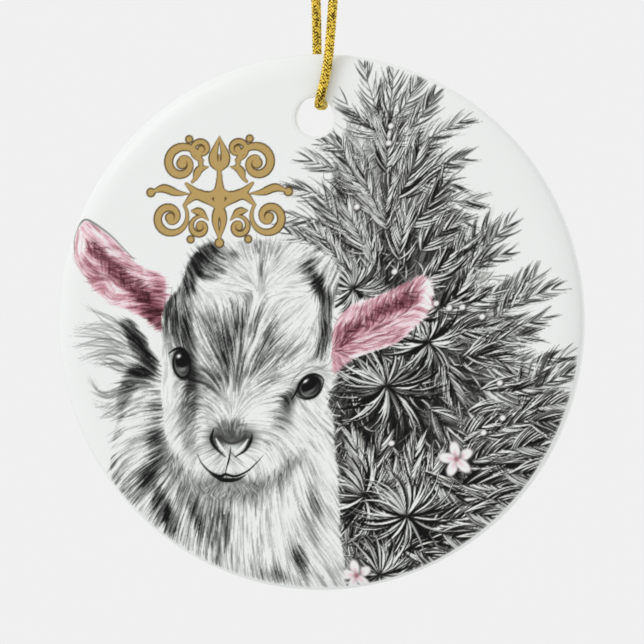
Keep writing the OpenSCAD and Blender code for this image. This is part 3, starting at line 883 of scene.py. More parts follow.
# Loose wisps that leave the neck: start, bend and tip.
WISPS = [
    ((-25.6, -2.0), (-28.6, 0.4), (-32.4, 2.0)), ((-25.8, -2.6), (-29.0, -0.6), (-33.8, -1.0)),
    ((-25.6, -3.4), (-29.6, -1.8), (-34.2, -1.6)), ((-25.4, -4.2), (-29.6, -3.0), (-34.0, -3.4)),
    ((-25.2, -5.0), (-29.0, -4.2), (-33.4, -5.4)), ((-25.0, -5.8), (-28.6, -5.2), (-31.4, -5.2)),
    ((-25.6, -6.8), (-28.0, -6.0), (-30.6, -5.8)), ((-26.2, -8.4), (-29.4, -10.0), (-32.0, -8.0)),
    ((-26.6, -9.4), (-29.2, -10.4), (-31.6, -9.6)), ((-26.8, -10.6), (-29.0, -11.6), (-31.2, -11.2)),
    ((-27.0, -11.8), (-28.6, -12.8), (-30.4, -12.8)),
]
# Sprays of needles: base u, v, tip u, v.  Outer ones are laid first.
SPRAYS = [
    (9.6, 25.5, 6.6, 35.2), (9.6, 26.5, 10.6, 35.4), (10.2, 26.5, 14.4, 33.8), (9.2, 25, 3.4, 30.6),
    (10.6, 24, 16.6, 31), (12.4, 22.4, 20.8, 27.4), (7.4, 22, -0.2, 24.8), (13, 20, 22, 22.6),
    (6.4, 19.6, -2.6, 22.6), (9.8, 20, 9.8, 28), (13.4, 18.4, 21.2, 18.4), (14.6, 16, 23.8, 16.4),
    (5, 16, -4.6, 18.4), (15.6, 13.4, 22.6, 13.4), (20.6, 7.6, 24.8, 14.6), (21, 6.6, 28, 15),
    (21, 7, 27.6, 9.8), (3.2, 13, -5.2, 14.6), (24.4, 1.4, 29.6, 6.8), (24.6, 0.8, 31.4, 7.4),
    (25, 0.4, 33, 4.6), (25.4, -0.6, 32.6, 1), (22, -3.6, 31.8, -1.4), (24, -6, 33, -4.6),
    (28.2, -10, 34.6, -4.4), (28, -11, 36, -6.4), (28, -12.4, 35.6, -10.6), (2, 10, -4.6, 12.4),
    (26.6, -15, 34, -14), (25, -17.6, 32.6, -17.6), (24.6, -19, 31, -20.4), (7.4, 17.6, 3, 25.4),
    (11.4, 16.6, 15, 24.6), (9.4, 14, 6, 22), (12.6, 12.6, 18.6, 20.4), (10, 12.4, 10.6, 20),
    (5.4, 11.6, 0, 18.6), (14.6, 9.6, 20.6, 14.4), (7.6, 9.4, 4, 16.6), (11.6, 8.4, 13, 16),
    (17.6, 5.6, 22, 12.4), (3.6, 7.6, -1, 13.6), (14.6, 5, 19.4, 9.8), (9, 5.4, 7.6, 11.6),
    (6, 5, 1.6, 10.6), (19.6, 2, 26, 4.6), (17, 1.6, 21.6, 7), (18.4, -1, 25.4, -0.4), (20.4, -4.6, 28, -6),
    (22.6, -9, 31, -8.6), (21, -12, 29, -13), (23.4, -15.4, 30.4, -12.6), (19, -17, 25, -13),
    (20.4, -19.6, 27.6, -16.6), (16.6, -25.4, 24, -21.6), (15.6, -28, 23.6, -25.6), (14, -29.6, 20.6, -29),
    (20, -22, 28, -22.6), (12, -31, 17, -32), (4.4, -30, 8.6, -27), (17.4, -5, 20.4, -12),
    (15.6, -11.6, 20, -18), (7, -23.6, 4.6, -13.6), (7, -23.6, 9.8, -14.6), (12.8, -26, 14.4, -14.6),
    (12.8, -26, 17.4, -17), (12.8, -26, 10.4, -18.6), (27, -17, 35, -17), (25.6, -20.4, 33, -20.4),
    (23.6, -23.6, 30.6, -24.2), (20.4, -25.6, 27.6, -27.6), (17.4, -28.4, 23.6, -31),
    (13.6, -30.6, 18.4, -34.2), (9.6, -31.4, 12.6, -36), (15, -20, 21, -24), (29, -13, 36.4, -13.6),
]
# Rosettes of needles seen end on: centre, reach.
ROSETTES = [
    (9.9, -8.6, 9.2), (6.9, -23.6, 7.4), (12.7, -26.2, 8.4), (8.9, -34.2, 7.0), (15.6, -2.6, 6.4),
    (5.2, 4.6, 5.6), (13.6, 1.0, 4.0),
]
FIR = curve_through([
    (4, 33), (10, 35), (15, 32), (19, 27), (20.6, 22), (21.6, 17), (24, 12), (26.6, 8.6), (28.6, 5),
    (30.6, 1), (31.2, -4), (33.4, -7), (34.6, -11), (31.6, -18.4), (26.4, -25), (19.6, -30.6),
    (11.4, -34.6), (3.4, -36.4), (3.4, -28), (2.8, -18), (1.6, -10), (3, -5), (3, 0), (3.4, 7), (-1, 10.6),
    (-3, 13.6), (-2, 18), (0.6, 21.4), (1.6, 26), (3, 30),
], 6, True)
# The dense heart of the fir lies inside its outline, but low down it reaches past it to the rim.
FIR_MIDDLE = np.array([9.5, -3])
FIR_HEART = FIR_MIDDLE + (FIR - FIR_MIDDLE) * np.where(FIR[:, 1:] < -9, 1.06, 0.85)
FIR_BLOTS = [
    (9.6, 24, 1.6, 6, 10, 0.3, 0.8), (6, 16, 4.6, 6, 0, 0.32, 0.8), (13, 14, 5, 6, 0, 0.4, 0.8),
    (10, 8, 7, 5, 0, 0.2, 0.9), (17, 3, 5, 5, 0, 0.24, 0.9), (2, 9, 2.6, 4, 0, 0.3, 0.8),
    (10, -8, 8, 10, 0, 0.1, 0.95), (20, -8, 6, 6, 0, 0.22, 0.9), (9, -22, 8, 12, 0, 0.09, 0.95),
    (19, -20, 7, 6, 0, 0.14, 0.9), (27, -13, 4, 4, 0, 0.45, 0.7), (30, -3, 3, 3, 0, 0.85, 0.7),
    (24, -1.6, 4, 3, 0, 0.45, 0.7), (14, -30, 6, 4, 30, 0.1, 0.9),
]


def eye(canvas, u, v, ru, rv, turn):
    """A glossy dark eye with a pale lower iris, tilted by turn."""
    canvas.spot(u, v, ru * 1.14, rv * 1.10, turn, grey(0.16), 0.9, 0.18)
    canvas.spot(u, v, ru * 0.98, rv * 0.98, turn, grey(0.03))
    canvas.spot(u - 0.02, v - 0.08, ru * 0.80, rv * 0.84, turn, grey(0.80), 0.75, 0.10)
    canvas.spot(u + 0.06, v + 0.06, ru * 0.78, rv * 0.80, turn, grey(0.10), 1, 0.12)
    canvas.spot(u + 0.05, v - rv * 0.34, ru * 0.52, rv * 0.26, turn, grey(0.60), 0.9, 0.25)
    canvas.spot(u, v + rv * 0.22, ru * 0.70, rv * 0.50, turn, grey(0.02), 1, 0.14)
    canvas.spot(u - 0.34 * ru, v + 0.52 * rv, ru * 0.30, rv * 0.15, 30, grey(0.62), 0.9, 0.10)
    canvas.spot(u - 0.34 * ru, v + 0.54 * rv, ru * 0.15, rv * 0.08, 30, grey(0.97), 1, 0.06)


def draw_lines(canvas, lines):
    for width, tone, cover, taper, points in lines:
        canvas.stroke(curve_through(points, 5), width, grey(np.float64(tone)), cover, taper)


def draw_spots(canvas, spots, soft):
    for u, v, ru, rv, turn, tone, cover in spots:
        canvas.spot(u, v, ru, rv, turn, grey(tone), cover, soft)


# Soft shadows of the face: u, v, ru, rv, turn, tone, cover.
FACE_SHADOWS = [
    (-17.55, -6.6, 0.42, 2.4, 4, 0.1, 0.85), (-17.6, -9.4, 0.45, 1.7, 0, 0.22, 0.7),
    (-18.4, -12.8, 0.9, 2.6, 0, 0.45, 0.6), (-17.9, -16.4, 0.7, 1.6, 14, 0.5, 0.6),
    (-3.9, -10.6, 0.42, 1.2, -24, 0.16, 0.8), (-4.3, -12.4, 0.6, 1.4, 0, 0.45, 0.6),
    (-12.0, -14.9, 1.9, 1.1, 0, 0.36, 0.75), (-12.0, -15.8, 1.6, 0.6, 0, 0.26, 0.8),
    (-14.9, -15.6, 0.5, 1.3, 0, 0.5, 0.6), (-9.0, -15.7, 0.4, 1.0, 0, 0.6, 0.5),
    (-12.2, -21.8, 2.8, 0.6, 0, 0.42, 0.8), (-12.4, -22.6, 3.6, 0.8, 0, 0.66, 0.6),
    (-21.0, -3.0, 0.5, 1.0, 0, 0.6, 0.5), (0.9, -7.0, 0.5, 1.0, 40, 0.55, 0.5),
]


# The lower edge of the jaw, which throws a soft shadow on the neck.
JAW = curve_through([
    (-21.0, -17.2), (-19.4, -20.2), (-16.4, -22.6), (-12.6, -23.5), (-8.8, -22.9), (-5.2, -21.0),
    (-2.2, -18.4),
], 6)
CHIN = -12.6  # Where the jaw is lowest.
FACE_SHIFT = np.array([0.45, -0.2])
# Short hairs on the nose, the chin and the left cheek: box u, box v, way, count.
SHORT_HAIRS = [
    (-13.8, -10.2, -15.9, -13.8, 90, 120), (-15.4, -9.0, -23.2, -21.6, 270, 90),
    (-18.9, -17.0, -17.0, -9.0, 230, 110),
]
# Nose pads and lips, laid like the shadows.
NOSE_PADS = [
    (-12.0, -15.6, 2.4, 0.75, 0, 0.34, 0.55), (-14.2, -15.9, 0.75, 1.15, 25, 0.12, 0.55),
    (-9.9, -15.7, 0.75, 1.15, -25, 0.14, 0.55), (-12.1, -17.0, 1.2, 0.7, 0, 0.90, 0.7),
    (-15.2, -19.4, 1.1, 0.8, 30, 0.95, 0.45), (-9.6, -19.2, 1.1, 0.8, -30, 0.95, 0.45),
]
# Drawn lines: width, tone, cover, taper of the two ends, and the points of the line.
EVEN = (0.3, 0.3)
LEFT_EYE_LINES = [
    (0.42, 0.04, 1, EVEN, [(-20.9, -4.1), (-20.2, -3.6), (-19.3, -3.4), (-18.5, -3.9), (-18.0, -4.9),
        (-17.85, -6.4)]),
    (0.26, 0.04, 1, EVEN, [(-20.4, -4.9), (-20.3, -6.0), (-19.8, -7.0), (-19.1, -7.5), (-18.3, -7.3),
        (-17.8, -6.5)]),
    (0.2, 0.85, 0.6, EVEN, [(-20.8, -5.0), (-20.7, -6.4), (-20.1, -7.5), (-19.1, -8.0), (-18.2, -7.8)]),
]
RIGHT_EYE_LINES = [
    (0.4, 0.04, 1, EVEN, [(-3.7, -10.3), (-3.1, -9.4), (-2.5, -8.2), (-1.6, -7.2), (-0.5, -6.9),
        (0.4, -7.2), (0.8, -7.8)]),
    (0.24, 0.04, 1, EVEN, [(-3.1, -9.7), (-2.2, -10.2), (-1.1, -10.2), (-0.1, -9.7), (0.5, -8.8),
        (0.75, -7.9)]),
    (0.2, 0.85, 0.6, EVEN, [(-3.0, -10.3), (-1.9, -10.8), (-0.6, -10.7), (0.5, -9.9), (1.0, -8.8)]),
    (0.2, 0.42, 0.6, EVEN, [(-3.9, -8.6), (-3.1, -7.2), (-1.7, -6.1), (-0.1, -5.9), (1.0, -6.5)]),
]
# The nose, its two nostrils, and the mouth.
MUZZLE_LINES = [
    (0.42, 0.24, 0.8, EVEN, [(-13.8, -15.4), (-13.0, -16.1), (-12.0, -16.35), (-11.0, -16.1),
        (-10.1, -15.5)]),
    (0.5, 0.06, 0.85, EVEN, [(-14.6, -14.4), (-14.95, -15.8), (-14.3, -17.0), (-13.0, -18.2)]),
    (0.46, 0.08, 0.85, EVEN, [(-9.2, -15.1), (-9.4, -16.0), (-10.2, -17.3), (-11.6, -18.2)]),
    (0.42, 0.93, 0.9, EVEN, [(-14.3, -15.7), (-13.6, -16.9), (-12.8, -17.7)]),
    (0.42, 0.91, 0.9, EVEN, [(-9.8, -15.8), (-10.6, -16.9), (-11.7, -17.7)]),
    (0.24, 0.06, 0.95, EVEN, [(-12.2, -16.9), (-12.4, -18.3), (-12.7, -19.4), (-13.0, -20.5)]),
    (0.38, 0.04, 0.95, (0.1, 0.05), [(-16.9, -17.9), (-16.3, -19.1), (-15.1, -20.3), (-13.7, -20.85),
        (-12.9, -20.6), (-11.6, -20.85), (-9.9, -20.15), (-8.5, -18.9), (-7.6, -17.9)]),
    (0.62, 0.05, 0.9, (0.1, 0.1), [(-15.1, -20.6), (-13.7, -21.25), (-12.5, -21.4), (-11.2, -21.25),
        (-10.0, -20.6)]),
]
# The dark fold inside each ear, and the rim of the left one.
EAR_FOLDS = [
    ((-31.6, 10.9), (-29.4, 8.4), (-27.4, 6.6), (-25.2, 5.0), (-23.2, 3.4)),
    ((3.2, -2.6), (5.6, -0.6), (8.4, 0.9), (11.0, 2.4), (13.2, 3.9)),
]
EAR_RIM = [
    (0.3, 0.42, 0.8, EVEN, [(-33.9, 9.4), (-34.1, 11.4), (-33.5, 13.2), (-32.4, 14.1), (-30.8, 13.4),
        (-28.6, 11.8), (-26.6, 9.8), (-25.4, 8.6)]),
]


def short_line(at, way, length, start=0.0):
    """A short straight line from at, or start lengths away from it."""
    steps = np.linspace(start, start + 1, 4)[:, None]
    return at + steps * np.array([math.cos(way), math.sin(way)]) * length


def kid_face(canvas, rng):
    for k in range(0, len(JAW) - 1, 2):
        d = JAW[k + 1] - JAW[k]
        canvas.spot(*JAW[k], 1.3, 0.42, math.degrees(math.atan2(d[1], d[0])), grey(0.36), 0.34, 0.8)
    for _ in range(260):
        k = rng.integers(1, len(JAW) - 1)
        d = JAW[k + 1] - JAW[k - 1]
        way, lean = math.atan2(d[1], d[0]), rng.uniform(0.5, 1.2)
        way = way - lean if JAW[k][0] < CHIN else way + lean - math.pi
        line = short_line(JAW[k] + rng.normal(0, 0.35, 2), way, rng.uniform(1, 1.8), -0.5)
        canvas.stroke(line, 0.14, grey(rng.choice([0.25, 0.55, 0.93])), 0.6)
    canvas.shift = FACE_SHIFT
    draw_spots(canvas, FACE_SHADOWS, 0.7)
    # Short hairs over the nose and the chin keep the shadows furry.
    for u0, u1, v0, v1, way, count in SHORT_HAIRS:
        for u, v in zip(rng.uniform(u0, u1, count), rng.uniform(v0, v1, count)):
            a = math.radians(way + rng.normal(0, 9) + 14 * (u - (u0 + u1) / 2) * (1 if way == 270 else -1))
            line = short_line(np.array([u, v]), a, rng.uniform(0.7, 1.3))
            canvas.stroke(line, 0.13, grey(rng.choice([0.2, 0.5, 0.85])), 0.5)
    eye(canvas, -19.1, -5.5, 1.22, 1.92, 10)
    draw_lines(canvas, LEFT_EYE_LINES)
    eye(canvas, -1.2, -8.6, 1.72, 1.42, 38)
    draw_lines(canvas, RIGHT_EYE_LINES)
    draw_spots(canvas, NOSE_PADS, 0.5)
    draw_lines(canvas, MUZZLE_LINES)
    canvas.shift = np.zeros(2)


# Patches of hair: outline, blots, base tone, lie, tint, and how the coat and the single hairs are laid.
COATS = {
    "body": (
        BODY, BODY_BLOTS, 0.86, BODY_LIE, grey, {"contrast": 0.34, "reach": 12},
        {"gap": 0.55, "length": 3.4, "width": 0.2, "contrast": 0.34, "cover": 0.6}),
    "neck": (
        NECK, NECK_BLOTS, 0.80, NECK_LIE, grey, {"contrast": 0.26, "reach": 9, "ragged": 0.6},
        {"gap": 0.45, "length": 2.6, "width": 0.2, "contrast": 0.3, "cover": 0.6}),
    "left_ear": (
        EAR_LEFT, EAR_LEFT_BLOTS, 0.54, EAR_LEFT_LIE, rose,
        {"contrast": 0.22, "reach": 6, "ragged": 0.25, "soft": 3},
        {"gap": 0.42, "length": 1.9, "width": 0.13, "contrast": 0.34, "cover": 0.6}),
    "right_ear": (
        EAR_RIGHT, EAR_RIGHT_BLOTS, 0.54, EAR_RIGHT_LIE, rose,
        {"contrast": 0.22, "reach": 5, "ragged": 0.25, "soft": 2},
        {"gap": 0.42, "length": 1.6, "width": 0.13, "contrast": 0.34, "cover": 0.6}),
    "head": (
        HEAD, HEAD_BLOTS, 0.88, HEAD_LIE, grey, {"contrast": 0.30, "reach": 9},
        {"gap": 0.5, "length": 2.4, "width": 0.17, "contrast": 0.34, "cover": 0.55}),
}


def lay_coat(canvas, rng, name):
    outline, blots, base, arrows, tint, coat, single = COATS[name]
    fur(canvas, rng, outline, blots, base, arrows, tint=tint, **coat)
    hairs(canvas, rng, outline, blots, base, arrows, tint=tint, **single)


def kid(canvas, rng):
    for a, b, c in WISPS:
        for _ in range(11):
            j = rng.normal(0, 0.4, (3, 2))
            canvas.stroke(curve_through(np.array([a, b, c]) + j, 4), rng.uniform(0.10, 0.24),
                          grey(rng.choice([0.35, 0.5, 0.62, 0.75])), 0.5)
    for name in ("body", "neck", "left_ear", "right_ear"):
        lay_coat(canvas, rng, name)
    for fold in EAR_FOLDS:
        fold = curve_through(fold, 8)
        for _ in range(150):
            k = rng.integers(1, len(fold) - 1)
            d = fold[k + 1] - fold[k - 1]
            way = math.atan2(d[1], d[0]) + rng.choice([-0.7, 0.7]) + rng.normal(0, 0.15)
            line = short_line(fold[k] + rng.normal(0, 0.3, 2), way, rng.uniform(0.8, 1.7))
            canvas.stroke(line, 0.17, rose(rng.choice([0.0, 0.12, 0.3])), 0.5, (1, 0))
    draw_lines(canvas, EAR_RIM)
    lay_coat(canvas, rng, "head")
    kid_face(canvas, rng)


NEEDLE_SHADOW = np.array([0.07, -0.12])


def needle_set(canvas, lines, widths, tones, ground, warm, edge):
    """Needles with a dark edge, as strong as edge says, so that each stands clear of those under it."""
    for line, wide, tone, strong in zip(lines, widths, tones, edge):
        if strong > 0.05:
            canvas.stroke(line + NEEDLE_SHADOW, wide + 0.04, grey(ground, warm), strong, (0.7, 0.1))
        canvas.stroke(line, wide, grey(tone, warm), 0.95, (0.5, 0.0))


BUDS = [
    (25.4, -8.2), (25.8, -12.9), (10.6, -16.4), (23.2, -14.9), (10.2, 24.2), (10.5, 26.5), (5.8, 15.6),
    (11, 6.8), (16.7, 2.5), (18.5, 1.9), (20.3, 2), (23, 0.7),
]
BLOSSOMS = [(19.5, -18.5, 2.1), (5.7, -34.4, 1.9)]


# Share of a spray's length that its twig takes up, near the rim and elsewhere.
RIM_START, RIM_SPRAY, OPEN_SPRAY = 33, 0.97, 0.84
# Tones of the needles, and how often each is picked.
DARK_NEEDLES, LIGHT_NEEDLES = [0.05, 0.38, 0.74, 0.92, 0.97], [0.08, 0.42, 0.82, 0.95, 0.97]
NEEDLE_ODDS = [0.16, 0.12, 0.20, 0.26, 0.26]
BARE_NEEDLES, BARE_ODDS = [0.12, 0.35, 0.95], [0.36, 0.26, 0.38]


def spray(canvas, rng, u0, v0, u1, v1, dark):
    """Needles on both sides of a gently curved twig, from its tip back to its foot."""
    a, b = np.array([u0, v0]), np.array([u1, v1])
    b = a + (b - a) * (RIM_SPRAY if np.hypot(*b) > RIM_START else OPEN_SPRAY)
    long = np.linalg.norm(b - a)
    d = (b - a) / long
    side = np.array([-d[1], d[0]])
    bow = rng.uniform(-0.10, 0.10) * long
    n = int(long / 0.19) * 2
    s = np.sort(rng.random(n))[::-1] * 0.98
    flip = np.where(rng.random(n) < 0.5, 1.0, -1.0)
    root = a + s[:, None] * (b - a) + (bow * 4 * s * (1 - s))[:, None] * side
    heading = d + (bow * 4 * (1 - 2 * s) / long)[:, None] * side
    heading /= np.linalg.norm(heading, axis=1, keepdims=True)
    across = np.stack([-heading[:, 1], heading[:, 0]], 1) * flip[:, None]
    reach = rng.uniform(0.7, 1.2, n) * (4.4 - 1.9 * s) * min(1, long / 7)
    spread = np.radians(rng.normal(44, 9, n)) * (1 - 0.45 * s)
    step = np.zeros((n, 2))
    lines = [root]
    for t in np.linspace(0, 1, 6)[1:]:
        ang = spread * (1.15 - 0.75 * t)
        way = heading * np.cos(ang)[:, None] + across * np.sin(ang)[:, None]
        step = step + way * (reach / 5)[:, None]
        lines.append(root + step)
    lines = np.stack(lines, 1)
    # Needles that end on bare paper are thin dark lines without an edge.
    tips = lines[:, -1]
    bare = ~inside(tips, FIR_HEART)
    tone = rng.choice(DARK_NEEDLES if dark else LIGHT_NEEDLES, n, p=NEEDLE_ODDS)
    tone = np.where(bare, rng.choice(BARE_NEEDLES, n, p=BARE_ODDS), tone)
    wide = rng.uniform(0.12, 0.22, n) + (0.04 if dark else 0)
    drawn = ~bare | (rng.random(n) < 0.62)
    wide, edge = np.where(bare, 0.72, 1) * wide, np.where(bare, 0.20, 0.80)
    needle_set(canvas, lines[drawn], wide[drawn], tone[drawn], 0.03 if dark else 0.08, 0.006, edge[drawn])
    t = np.linspace(0, 0.95, 6)
    twig = a + t[:, None] * (b - a) + (bow * 4 * t * (1 - t))[:, None] * side
    canvas.stroke(twig, 0.16, grey(0.2), 0.6)


def rosette(canvas, rng, u, v, reach, n=110):
    """Needles of a shoot seen end on."""
    a = rng.uniform(0, math.tau, n)
    long = reach * rng.uniform(0.5, 1.0, n)
    curl = np.where(np.sin(a + 0.6) > 0, 1, -1) * rng.uniform(0.1, 0.5, n)
    lines = []
    for t in np.linspace(0.03, 1, 6):
        ang = a + curl * t**2
        lines.append(np.stack([u + np.cos(ang) * long * t, v + np.sin(ang) * long * t * 0.92], 1))
    tone = rng.choice([0.04, 0.40, 0.72, 0.88, 0.97], n, p=[0.24, 0.12, 0.18, 0.24, 0.22])
    needle_set(canvas, np.stack(lines, 1), rng.uniform(0.16, 0.34, n), tone, 0.05, 0.004, np.full(n, 0.85))
    canvas.spot(u, v, 0.5, 0.5, 0, grey(0.08), 0.8, 0.3)


def fir(canvas, rng):
    out = [(u, v, math.degrees(math.atan2(v + 2, u - 9.5)) + 20 * math.sin(u * 0.9) * math.cos(v * 0.8))
           for u in range(-4, 36, 3) for v in range(-36, 37, 3)]
    fur(canvas, rng, FIR_HEART, FIR_BLOTS, 0.8, out, 0.16, lambda t: grey(t, 0.006), 5, 0.2, 5)
    # Loose needles fill the gaps between the sprays.
    roots = rng.uniform(-37, 37, (6000, 2))
    roots = roots[inside(roots, FIR_HEART)]
    ground = shade(roots, 0.85, FIR_BLOTS)
    turn = np.arctan2(roots[:, 1] + 4, roots[:, 0] - 9.5) + rng.uniform(-1.1, 1.1, len(roots))
    curl, long = rng.uniform(-0.7, 0.7, len(roots)), rng.uniform(1.6, 3.4, len(roots))
    for k in range(len(roots)):
        t = np.linspace(0, 1, 5)
        way = turn[k] + curl[k] * t
        line = roots[k] + np.stack([np.cos(way), np.sin(way)], 1) * (long[k] * t)[:, None]
        tone = np.clip(ground[k] + rng.choice([0.05, 0.3, 0.8]), 0, 0.95)
        canvas.stroke(line + NEEDLE_SHADOW, 0.24, grey(ground[k] * 0.5, 0.006), 0.8)
        canvas.stroke(line, 0.18, grey(tone, 0.006), 0.9)
    for s in SPRAYS:
        mid = (s[1] + s[3]) / 2
        spray(canvas, rng, *s, dark=(mid < 9 and s[2] < 22.6) or mid < -21)
    for r in ROSETTES:
        rosette(canvas, rng, *r)
    for u, v in BUDS:
        canvas.spot(u + 0.1, v - 0.1, 0.55, 0.5, 30, grey(0.1), 0.7, 0.2)
        canvas.spot(u, v, 0.42, 0.36, 30, rose(0.95), 1, 0.1)
    for u, v, size in BLOSSOMS:
        for k in range(5):
            a = math.tau * k / 5 + 0.5
            cos, sin, turn = size * math.cos(a), size * math.sin(a), math.degrees(a)
            at = u + 0.62 * cos, v + 0.62 * sin
            canvas.spot(at[0] + 0.12, at[1] - 0.14, size * 0.62, size * 0.38, turn, grey(0.12), 0.6, 0.2)
            canvas.spot(*at, size * 0.55, size * 0.33, turn, rose(0.93), 1, 0.12)
            canvas.spot(u + 0.3 * cos, v + 0.3 * sin, size * 0.3, size * 0.1, turn, rose(0.62), 0.7, 0.15)
        canvas.spot(u, v, 0.3, 0.3, 0, rose(0.35), 0.9, 0.1)


GOLD_INK, GOLD_EDGE = np.array([0.70, 0.60, 0.40]), np.array([0.30, 0.24, 0.14])
# Curls of the scrollwork: middle, outer and inner radius, first angle and turns. They are mirrored.
SCROLL_AXIS = -13.35
CURLS = [
    ((-18.6, 21.7), 2.9, 0.7, -60, 1.45), ((-20.3, 14.3), 2.6, 0.6, 40, -1.4),
    ((-15.9, 23.6), 1.5, 0.45, -80, -1.2), ((-16.1, 13.0), 1.5, 0.45, 60, 1.2),
]
# Leaves and stems: the line, then its width.
SWEEPS = [
    (((-18.0, 18.9), (-16.2, 17.4), (-14.6, 17.3), (-13.35, 18.6)), 1.2),
    (((-18.3, 16.0), (-16.6, 17.4), (-14.8, 16.6), (-13.35, 15.2)), 1.2),
    (((-13.35, 11.4), (-13.9, 14.0), (-13.1, 16.6), (-13.35, 19.6), (-13.35, 22.8)), 1.0),
    (((-22.9, 17.8), (-21.2, 18.3), (-19.4, 17.7), (-17.6, 17.5)), 0.9),
    (((-13.35, 20.6), (-14.2, 22.4), (-13.35, 25.3)), 1.1),
    (((-16.9, 19.6), (-16.2, 20.8), (-14.9, 21.2)), 0.8),
    (((-17.2, 15.2), (-16.0, 15.0), (-14.9, 13.9)), 0.8),
]
BERRIES = [(-23.0, 17.75, 0.5), (-17.6, 25.0, 0.42), (-17.4, 11.3, 0.42), (-13.35, 10.8, 0.5)]


def scrollwork(canvas):
    """A gold panel of curls and leaves, the same on both sides of its axis."""
    lines, dots = [], []
    for (u, v), wide, tight, first, turns in CURLS:
        a = math.radians(first) + np.linspace(0, math.tau * turns, 40)
        r = np.linspace(wide, tight, 40)
        lines.append((np.stack([u + r * np.cos(a), v + r * np.sin(a)], 1), 0.26 * wide + 0.22, (0.35, 0.5)))
        dots.append((u, v, tight * 0.95))
    for line, wide in SWEEPS:
        lines.append((curve_through(line, 6), wide, (0.3, 0.15)))
    dots += BERRIES
    for grow, ink in ((0.34, GOLD_EDGE), (0.0, GOLD_INK)):
        for flip in (1, -1):
            for line, wide, taper in lines:
                there = line.copy()
                if flip < 0:
                    there[:, 0] = 2 * SCROLL_AXIS - there[:, 0]
                canvas.stroke(there, wide + grow, ink, 1.0, taper)
            for u, v, r in dots:
                u, r = u if flip > 0 else 2 * SCROLL_AXIS - u, r + grow / 2
                canvas.spot(u, v, r, r, 0, ink, 1.0, 0.06)


PRINT_GLOSS = 0.12  # The print is less glossy than the glaze round it.
BARE_PAPER = np.array([0.925, 0.935, 0.928])
FADE_END, FADE_WIDTH = 36.4, 0.6  # Where the print ends and how far it takes to thin out.
BLANK = 0.985                     # Ink paler than this is bare glaze.
MID_TONE, CONTRAST = 0.58, 1.12   # The ink's contrast is raised about its middle tone.


def paint_picture(seed, paper):
    """The whole print, as the colour of each point of the face."""
    rng = np.random.default_rng(seed)
    canvas = Canvas(BARE_PAPER)
    fir(canvas, rng)
    kid(canvas, rng)
    scrollwork(canvas)
    # The print thins out just short of the rim.
    reach = np.hypot(*np.mgrid[-HALF:HALF + 1, -HALF:HALF + 1]) * PITCH
    thin = np.clip((FADE_END - reach) / FADE_WIDTH, 0, 1)[..., None]
    ink = (canvas.ink * thin + BARE_PAPER * (1 - thin)) / BARE_PAPER
    ink = np.where(ink < BLANK, MID_TONE + (ink - MID_TONE) * CONTRAST, ink)
    return np.clip(ink, 0, 1) ** 2.2 * np.array(paper)


# ---------------------------------------------------------------- the picture
class ORNAMENT_OT_picture(bpy.types.Operator):
    """Print the kid and the fir on a thin coat over the front face"""

    bl_idname = "ornament.picture"
    bl_label = "Printed picture"

    def execute(self, context):
        s, d = context.scene.picture_settings, context.scene.disc_settings
        ink = paint_picture(s.seed, tuple(d.glaze))
        size = len(ink)
        material = glaze_material("printed_glaze", PRINT_GLOSS)
        for name, left, right in PRINT_BANDS:
            first, last = int(round(left / PITCH)) + HALF, int(round(right / PITCH)) + HALF
            first, last = max(0, first), min(size - 1, last)
            cols, rows = np.meshgrid(np.arange(first, last + 1), np.arange(size))
            u, v = (cols - HALF) * PITCH * MM, (rows - HALF) * PITCH * MM
            wide = cols.shape[1]
            mid_u, mid_v = u[:-1, :-1] + PITCH * MM / 2, v[:-1, :-1] + PITCH * MM / 2
            hole_u, hole_v = HOLE.x, HOLE.z - DISC_Z
            keep = (np.hypot(mid_u, mid_v) < s.radius) & (
                np.hypot(mid_u - hole_u, mid_v - hole_v) > s.hole_radius)
            a = (np.arange(size - 1)[:, None] * wide + np.arange(wide - 1)[None])[keep]
            quads = np.stack([a, a + 1, a + wide + 1, a + wide], 1)
            used, quads = np.unique(quads, return_inverse=True)
            quads = quads.reshape(-1, 4)
            pu, pv = u.ravel()[used], v.ravel()[used]
            # The coat's edge lies on a clean circle round the rim and round the hole.
            share = np.bincount(quads.ravel(), minlength=len(used))
            near_rim = np.hypot(pu, pv)
            edge = (share < 4) & (near_rim > s.radius - 2 * PITCH * MM)
            pu[edge], pv[edge] = pu[edge] * s.radius / near_rim[edge], pv[edge] * s.radius / near_rim[edge]
            near_hole = np.hypot(pu - hole_u, pv - hole_v)
            edge = (share < 4) & (near_hole < s.hole_radius + 2 * PITCH * MM)
            scale = s.hole_radius / near_hole[edge]
            pu[edge], pv[edge] = hole_u + (pu[edge] - hole_u) * scale, hole_v + (pv[edge] - hole_v) * scale
            high = face_height(np.hypot(pu, pv), d) + s.lift
            mesh = bpy.data.meshes.new(name)
            mesh.vertices.add(len(used))
            mesh.vertices.foreach_set("co", np.stack([pu, -high, pv + DISC_Z], 1).ravel())
            mesh.loops.add(quads.size)
            mesh.loops.foreach_set("vertex_index", quads.ravel())
            mesh.polygons.add(len(quads))
            mesh.polygons.foreach_set("loop_start", np.arange(0, quads.size, 4))
            mesh.update(calc_edges=True)
            tint = mesh.color_attributes.new("print", "FLOAT_COLOR", "POINT")
            colour = ink.reshape(-1, 3)[(rows * size + cols).ravel()[used]]
            tint.data.foreach_set("color", np.c_[colour, np.ones(len(colour))].ravel())
            coat = bpy.data.objects.new(name, mesh)
            context.scene.collection.objects.link(coat)
            coat.data.materials.append(material)
            pick(coat)
            bpy.ops.object.shade_smooth()
            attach(coat, "disc")
            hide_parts("picture_print")
        return {"FINISHED"}


# ---------------------------------------------------------------- the stage
BRIGHT_WAY = (-0.70, 0, 0.71)  # The surround is brightest this way, up and to the left.


